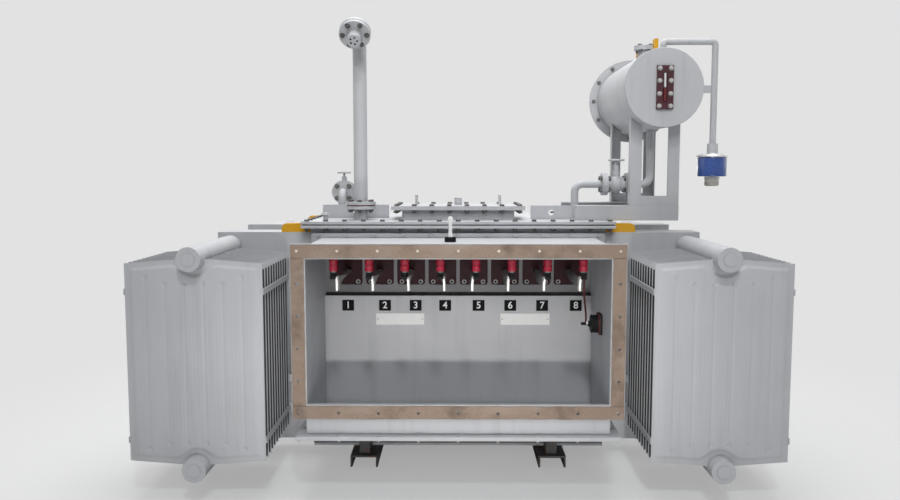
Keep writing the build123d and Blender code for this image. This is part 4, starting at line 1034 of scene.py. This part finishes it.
def make_earth_terminal():
    """Base ring, ribs and nuts of the earth bushing on the box's right wall."""
    inset, circle = 0.008, 0.049
    rib_places, nut_place, stud_place = (0.010, 0.020, 0.030), 0.034, 0.046
    base_profile = [(0.0340, 0), (0.0405, 0), (0.0405, 0.004), (0.0375, 0.006), (0.0340, 0.006)]
    rib_profile = [(0.0335, -0.003), (0.0375, -0.002), (0.0375, 0.002), (0.0335, 0.003)]
    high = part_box("earth_bushing")[1]
    centre = centre_of("earth_bushing")
    point = (high.x - inset, centre.y, centre.z)
    base = along(point, LEFT)
    plate, ribs, stud = Shape(), Shape(), Shape()
    plate.lathe(base_profile, base, 28)
    bolt_ring(plate, point, LEFT, circle, 4, M7, start=eighth)
    plate.make("earth_base_ring", "earth_wire")
    for reach in rib_places:
        ribs.lathe(rib_profile, base @ shift(0, 0, reach), 28)
    hexagon(ribs, base @ shift(0, 0, nut_place), 0.022, 0.010)
    hexagon(stud, base @ shift(0, 0, stud_place), 0.018, 0.006)
    stud.make("earth_stud_nut", "tinned_copper", zinc)
    ribs.make("earth_sheds", "black_bushing")


tag_places = (-0.477, -0.317, -0.184, -0.056, 0.089, 0.226, 0.364, 0.510)
tag_level, tag_thickness = 0.685, 0.002
tag_size = (0.051, 0.047, tag_thickness)
figure_height, figure_reach = 0.030, 0.0023
plate_spans = ((-0.356, -0.147), (0.184, 0.397))
plate_level, plate_height = 0.625, 0.050
rivet_inset = 0.008
rivet_profile = [(0.0032, 0), (0.0026, 0.0012), (0.0012, 0.0018), (0, 0.002)]


def make_tags():
    """Numbered tags and two bare plates on the label panel."""
    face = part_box("label_panel")[0].y
    middle = face - tag_thickness / 2
    chamfer = 0.0006
    tags, numbers, plates, rivets = (Shape() for _ in range(4))
    for i, x in enumerate(tag_places):
        tags.slab(tag_size, along((x, middle, tag_level), FRONT), chamfer)
        place = shift(x, face - figure_reach, tag_level) @ Matrix.Rotation(math.pi / 2, 4, "X")
        numbers.words(str(i + 1), figure_height, place)
    tags.make("number_tags", "black_bushing", tag_black)
    numbers.make("tag_numbers", "bright_cap", tag_white)
    for low, high in plate_spans:
        centre, half = (low + high) / 2, (high - low) / 2
        size = (2 * half, plate_height, tag_thickness)
        plates.slab(size, along((centre, middle, plate_level), FRONT), chamfer)
        for side in (-1, 1):
            x = centre + side * (half - rivet_inset)
            rivets.lathe(rivet_profile, along((x, face - tag_thickness, plate_level), FRONT), 12)
    plates.make("bare_plates", "bright_cap", tag_white)
    rivets.make("plate_rivets", "tinned_copper", zinc)


# Conservator fittings

def rod(shape, place, radius, length):
    shape.lathe([(0, 0), (radius, 0), (radius, length), (0, length)], place, 16)


def make_gauge():
    """Tube, oil and bolts of the oil gauge."""
    depth, spacing, plate = 0.005, 0.0235, 0.0025
    tube_foot, tube_radius, tube_length = 0.001, 0.0045, 0.058
    oil_foot, oil_radius, oil_length = -0.058, 0.0078, 0.056
    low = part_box("oil_gauge")[0]
    centre = centre_of("oil_gauge")
    tube, oil, bolts = Shape(), Shape(), Shape()
    rod(tube, along((centre.x, low.y + depth, centre.z + tube_foot), UP), tube_radius, tube_length)
    rod(oil, along((centre.x, low.y + depth, centre.z + oil_foot), UP), oil_radius, oil_length)
    for level in (-0.078, -0.027, 0.027, 0.078):
        for side in (-1, 1):
            place = Vector((centre.x + side * spacing, low.y, centre.z + level))
            washer(bolts, along(place, FRONT), 0.0105, plate)
            bolt(bolts, place + FRONT * plate, FRONT, M9)
    tube.make("gauge_tube", "bright_cap", gauge_white)
    oil.make("gauge_float", "gauge_red", gauge_oil)
    bolts.make("gauge_bolts", "tinned_copper", strap_metal)


def make_breather():
    """Gel jar, lid and oil cup of the breather, turned about its axis."""
    low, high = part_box("breather_body")
    axis = (low + high) / 2
    wide, tall = (high.x - low.x) / 2, high.z - low.z
    profile = [
        (0, 0), (0.95 * wide, 0), (0.985 * wide, 0.0015), (wide, 0.005), (wide, tall - 0.005),
        (0.985 * wide, tall - 0.001), (0, tall),
    ]
    jar = Shape()
    jar.lathe(profile, along((axis.x, axis.y, low.z), UP), 96)
    jar.make("breather_jar", "blue_gel", replaces=["breather_body"])

    low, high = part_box("breather_cap")
    wide, tall = (high.x - low.x) / 2, high.z - low.z
    shelf = 0.006
    profile = [
        (0, tall), (0.35 * wide, tall), (0.40 * wide, tall - 0.003), (0.86 * wide, tall - shelf),
        (0.95 * wide, tall - 0.008), (wide, tall - 0.011), (wide, 0.002), (0.98 * wide, 0), (0, 0),
    ]
    cap = Shape()
    cap.lathe(profile, along((axis.x, axis.y, low.z), UP), 64)
    bolt_ring(cap, (axis.x, axis.y, high.z - shelf), UP, 0.72 * wide, 4, M6, start=eighth)
    cap.make("breather_lid", "bright_cap", replaces=["breather_cap"])

    low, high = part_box("breather_cup")
    tall = high.z - low.z
    profile = [
        (0, 0), (0.024, 0), (0.028, 0.002), (0.030, 0.006), (0.0305, 0.012), (0.0305, tall - 0.010),
        (0.033, tall - 0.008), (0.033, tall - 0.001), (0, tall),
    ]
    cup = Shape()
    cup.lathe(profile, along((axis.x, axis.y, low.z), UP), 40)
    cup.make("breather_oil_cup", "oil_cup", replaces=["breather_cup"])


def make_top_pin():
    """Pin in a black clamp on the cable box's top plate."""
    x, y = -0.032, -0.600
    width, depth, height = 0.046, 0.034, 0.020
    profile = [
        (0.0095, height), (0.0080, 0.030), (0.0070, 0.075), (0.0095, 0.080), (0.0110, 0.088),
        (0.0095, 0.097), (0.0050, 0.103), (0, 0.104),
    ]
    place = along((x, y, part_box("box_top")[1].z), UP)
    base, pin = Shape(), Shape()
    base.slab((width, depth, height), place @ shift(0, 0, height / 2), 0.003)
    pin.lathe(profile, place, 20)
    base.make("top_pin_clamp", "black_bushing", tag_black)
    pin.make("top_pin", "bright_cap", tag_white)


# Weld beads

bead_size, thin_bead, thinnest_bead = 0.0035, 0.003, 0.0025
bead_pitch, bead_ripple = 0.006, 0.0004
duct_width, duct_height = 0.150, 0.120
turret_flange = (0.046, 0.035)
lid_pipes = ((-0.432, -0.255, 0.030), (-0.541, -0.076, 0.017), (0.528, -0.170, 0.017))  # x, y, radius


def make_welds():
    """Beads where ducts, turret, pipes and plates are welded on."""
    shape = Shape()

    def line(a, b, size=bead_size):
        shape.bead(straight(a, b, bead_pitch), size, bead_ripple)

    def ring(centre, axis, radius, count, size=bead_size):
        shape.bead(ring_points(along(centre, axis), radius, count), size, bead_ripple, closed=True)

    low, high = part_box("header_ducts")
    widths = ((low.y, low.y + duct_width), (high.y - duct_width, high.y))
    heights = ((low.z, low.z + duct_height), (high.z - duct_height, high.z))
    tank_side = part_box("tank_front_wall")[1].x
    for x in (-tank_side, tank_side):
        for y in widths[0] + widths[1]:
            for bottom, top in heights:
                line((x, y, bottom), (x, y, top))
        for near, far in widths:
            for z in heights[0] + heights[1]:
                line((x, near, z), (x, far, z))

    lid_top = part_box("lid")[1].z
    low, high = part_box("inspection_turret")
    side = high.x - turret_flange[0]
    near, far = low.y + turret_flange[1], high.y - turret_flange[1]
    corners = [(-side, near, lid_top), (side, near, lid_top), (side, far, lid_top), (-side, far, lid_top)]
    for a, b in zip(corners, corners[1:] + corners[:1]):
        line(a, b)
    for x, y, radius in lid_pipes:
        ring((x, y, lid_top), UP, radius + 0.001, 36)

    low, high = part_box("box_top")
    for x in (-high.x, high.x):
        line((x, low.y, low.z), (x, high.y, low.z), thin_bead)
    line((low.x, low.y, high.z), (high.x, low.y, high.z))

    low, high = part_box("conservator_end_plate")
    centre = (low + high) / 2
    ring((centre.x, high.y, centre.z), FRONT, (high.x - low.x) / 2, 150, thinnest_bead)
    shape.make("weld_beads", "grey_paint", sharp=60.0)


# Stage and light

def make_floor():
    """Pale floor that fades into the background where the camera sees it."""
    radius, sides = 7.0, 96
    fade_start, fade_end, nearest = 1.2, 3.0, 0.45
    mesh = bpy.data.meshes.new("floor")
    ring = [(x, y, 0) for x, y in circle_points(0, 0, radius, sides)]
    mesh.from_pydata(ring, [], [list(range(sides))])
    floor = bpy.data.objects.new("floor", mesh)
    put_in_scene(floor)

    paint = Paint("floor", roughness=0.9)
    paint.set("Base Color", (0.80, 0.80, 0.80, 1))
    length = paint.node("ShaderNodeVectorMath", {0: paint.coords}, operation="LENGTH").outputs["Value"]
    seen = paint.node("ShaderNodeLightPath").outputs["Is Camera Ray"]
    fade = paint.math("MULTIPLY", paint.band(length, fade_start, fade_end, nearest, 1.0), seen)
    clear = paint.node("ShaderNodeBsdfTransparent").outputs[0]
    blend = paint.node("ShaderNodeMixShader", {0: fade, 1: paint.shader.outputs[0], 2: clear})
    paint.feed(paint.tree.nodes["Material Output"].inputs["Surface"], blend.outputs[0])
    mesh.materials.append(paint.material)


def make_world():
    """Grey background for the camera and for reflections, dimmer light for everything else."""
    world = bpy.data.worlds.new("world")
    bpy.context.scene.world = world
    world.use_nodes = True
    world.node_tree.nodes.clear()
    tree = Tree(world.node_tree)
    ambient = tree.node("ShaderNodeBackground", {"Color": (0.96, 0.98, 1.0, 1), "Strength": 0.18})
    backdrop = tree.node("ShaderNodeBackground", {"Color": (0.76, 0.76, 0.76, 1)})
    rays = tree.node("ShaderNodeLightPath").outputs
    seen = tree.math("MAXIMUM", rays["Is Camera Ray"], rays["Is Glossy Ray"])
    seen = tree.math("MAXIMUM", seen, rays["Is Transmission Ray"])
    links = {0: seen, 1: ambient.outputs[0], 2: backdrop.outputs[0]}
    either = tree.node("ShaderNodeMixShader", links)
    tree.node("ShaderNodeOutputWorld", {"Surface": either.outputs[0]})


def lamp(name, place, target, power, size, colour=(1.0, 1.0, 1.0), spread_deg=180, glare=True):
    """Area lamp of a width and height that points at a target; without glare it leaves no reflection."""
    data = bpy.data.lights.new(name, "AREA")
    data.energy = power
    data.shape = "RECTANGLE"
    data.size, data.size_y = size
    data.spread = math.radians(spread_deg)
    data.color = colour
    light = bpy.data.objects.new(name, data)
    light.location = place
    light.rotation_euler = (Vector(target) - Vector(place)).to_track_quat("-Z", "Y").to_euler()
    light.visible_camera = False
    light.visible_glossy = glare
    put_in_scene(light)


def make_lamps():
    lamp("key", (0.35, -5.6, 5.9), (0, -0.4, 0.5), 132, (0.5, 0.5), (0.93, 0.98, 1.0))
    lamp("top", (0.0, 0.2, 5.6), (0, 0, 0.8), 280, (4.5, 4.5))
    lamp("upper", (0.0, -4.8, 3.4), (0.1, 0, 1.62), 5.5, (2.0, 0.8), (1.0, 0.995, 0.99), 45)
    lamp("box", (0.0, -3.0, 0.06), (0, -0.4, 0.62), 3.0, (1.3, 0.12), (1.0, 0.985, 0.97), 55)
    lamp("left_fill", (-5.0, 0.5, 2.6), (0, 0, 1.0), 14, (3.0, 3.0))
    lamp("right_fill", (5.0, 0.5, 2.6), (0, 0, 1.0), 14, (3.0, 3.0))
    lamp("rear_fill", (0.0, 6.0, 2.8), (0, 0, 0.8), 30, (3.0, 3.0), glare=False)
    lamp("rear_sheen", (0.0, 6.0, 2.8), (0, 0, 0.8), 85, (3.6, 3.6))


bpy.context.scene.view_settings.view_transform = "Standard"
make_camera()
paint_model()
make_radiators()
make_tank_bolts()
make_lid_bolts()
make_terminals()
make_mouth()
make_flange_frame()
make_earth_terminal()
make_tags()
make_gauge()
make_breather()
make_top_pin()
make_welds()
make_floor()
make_world()
make_lamps()
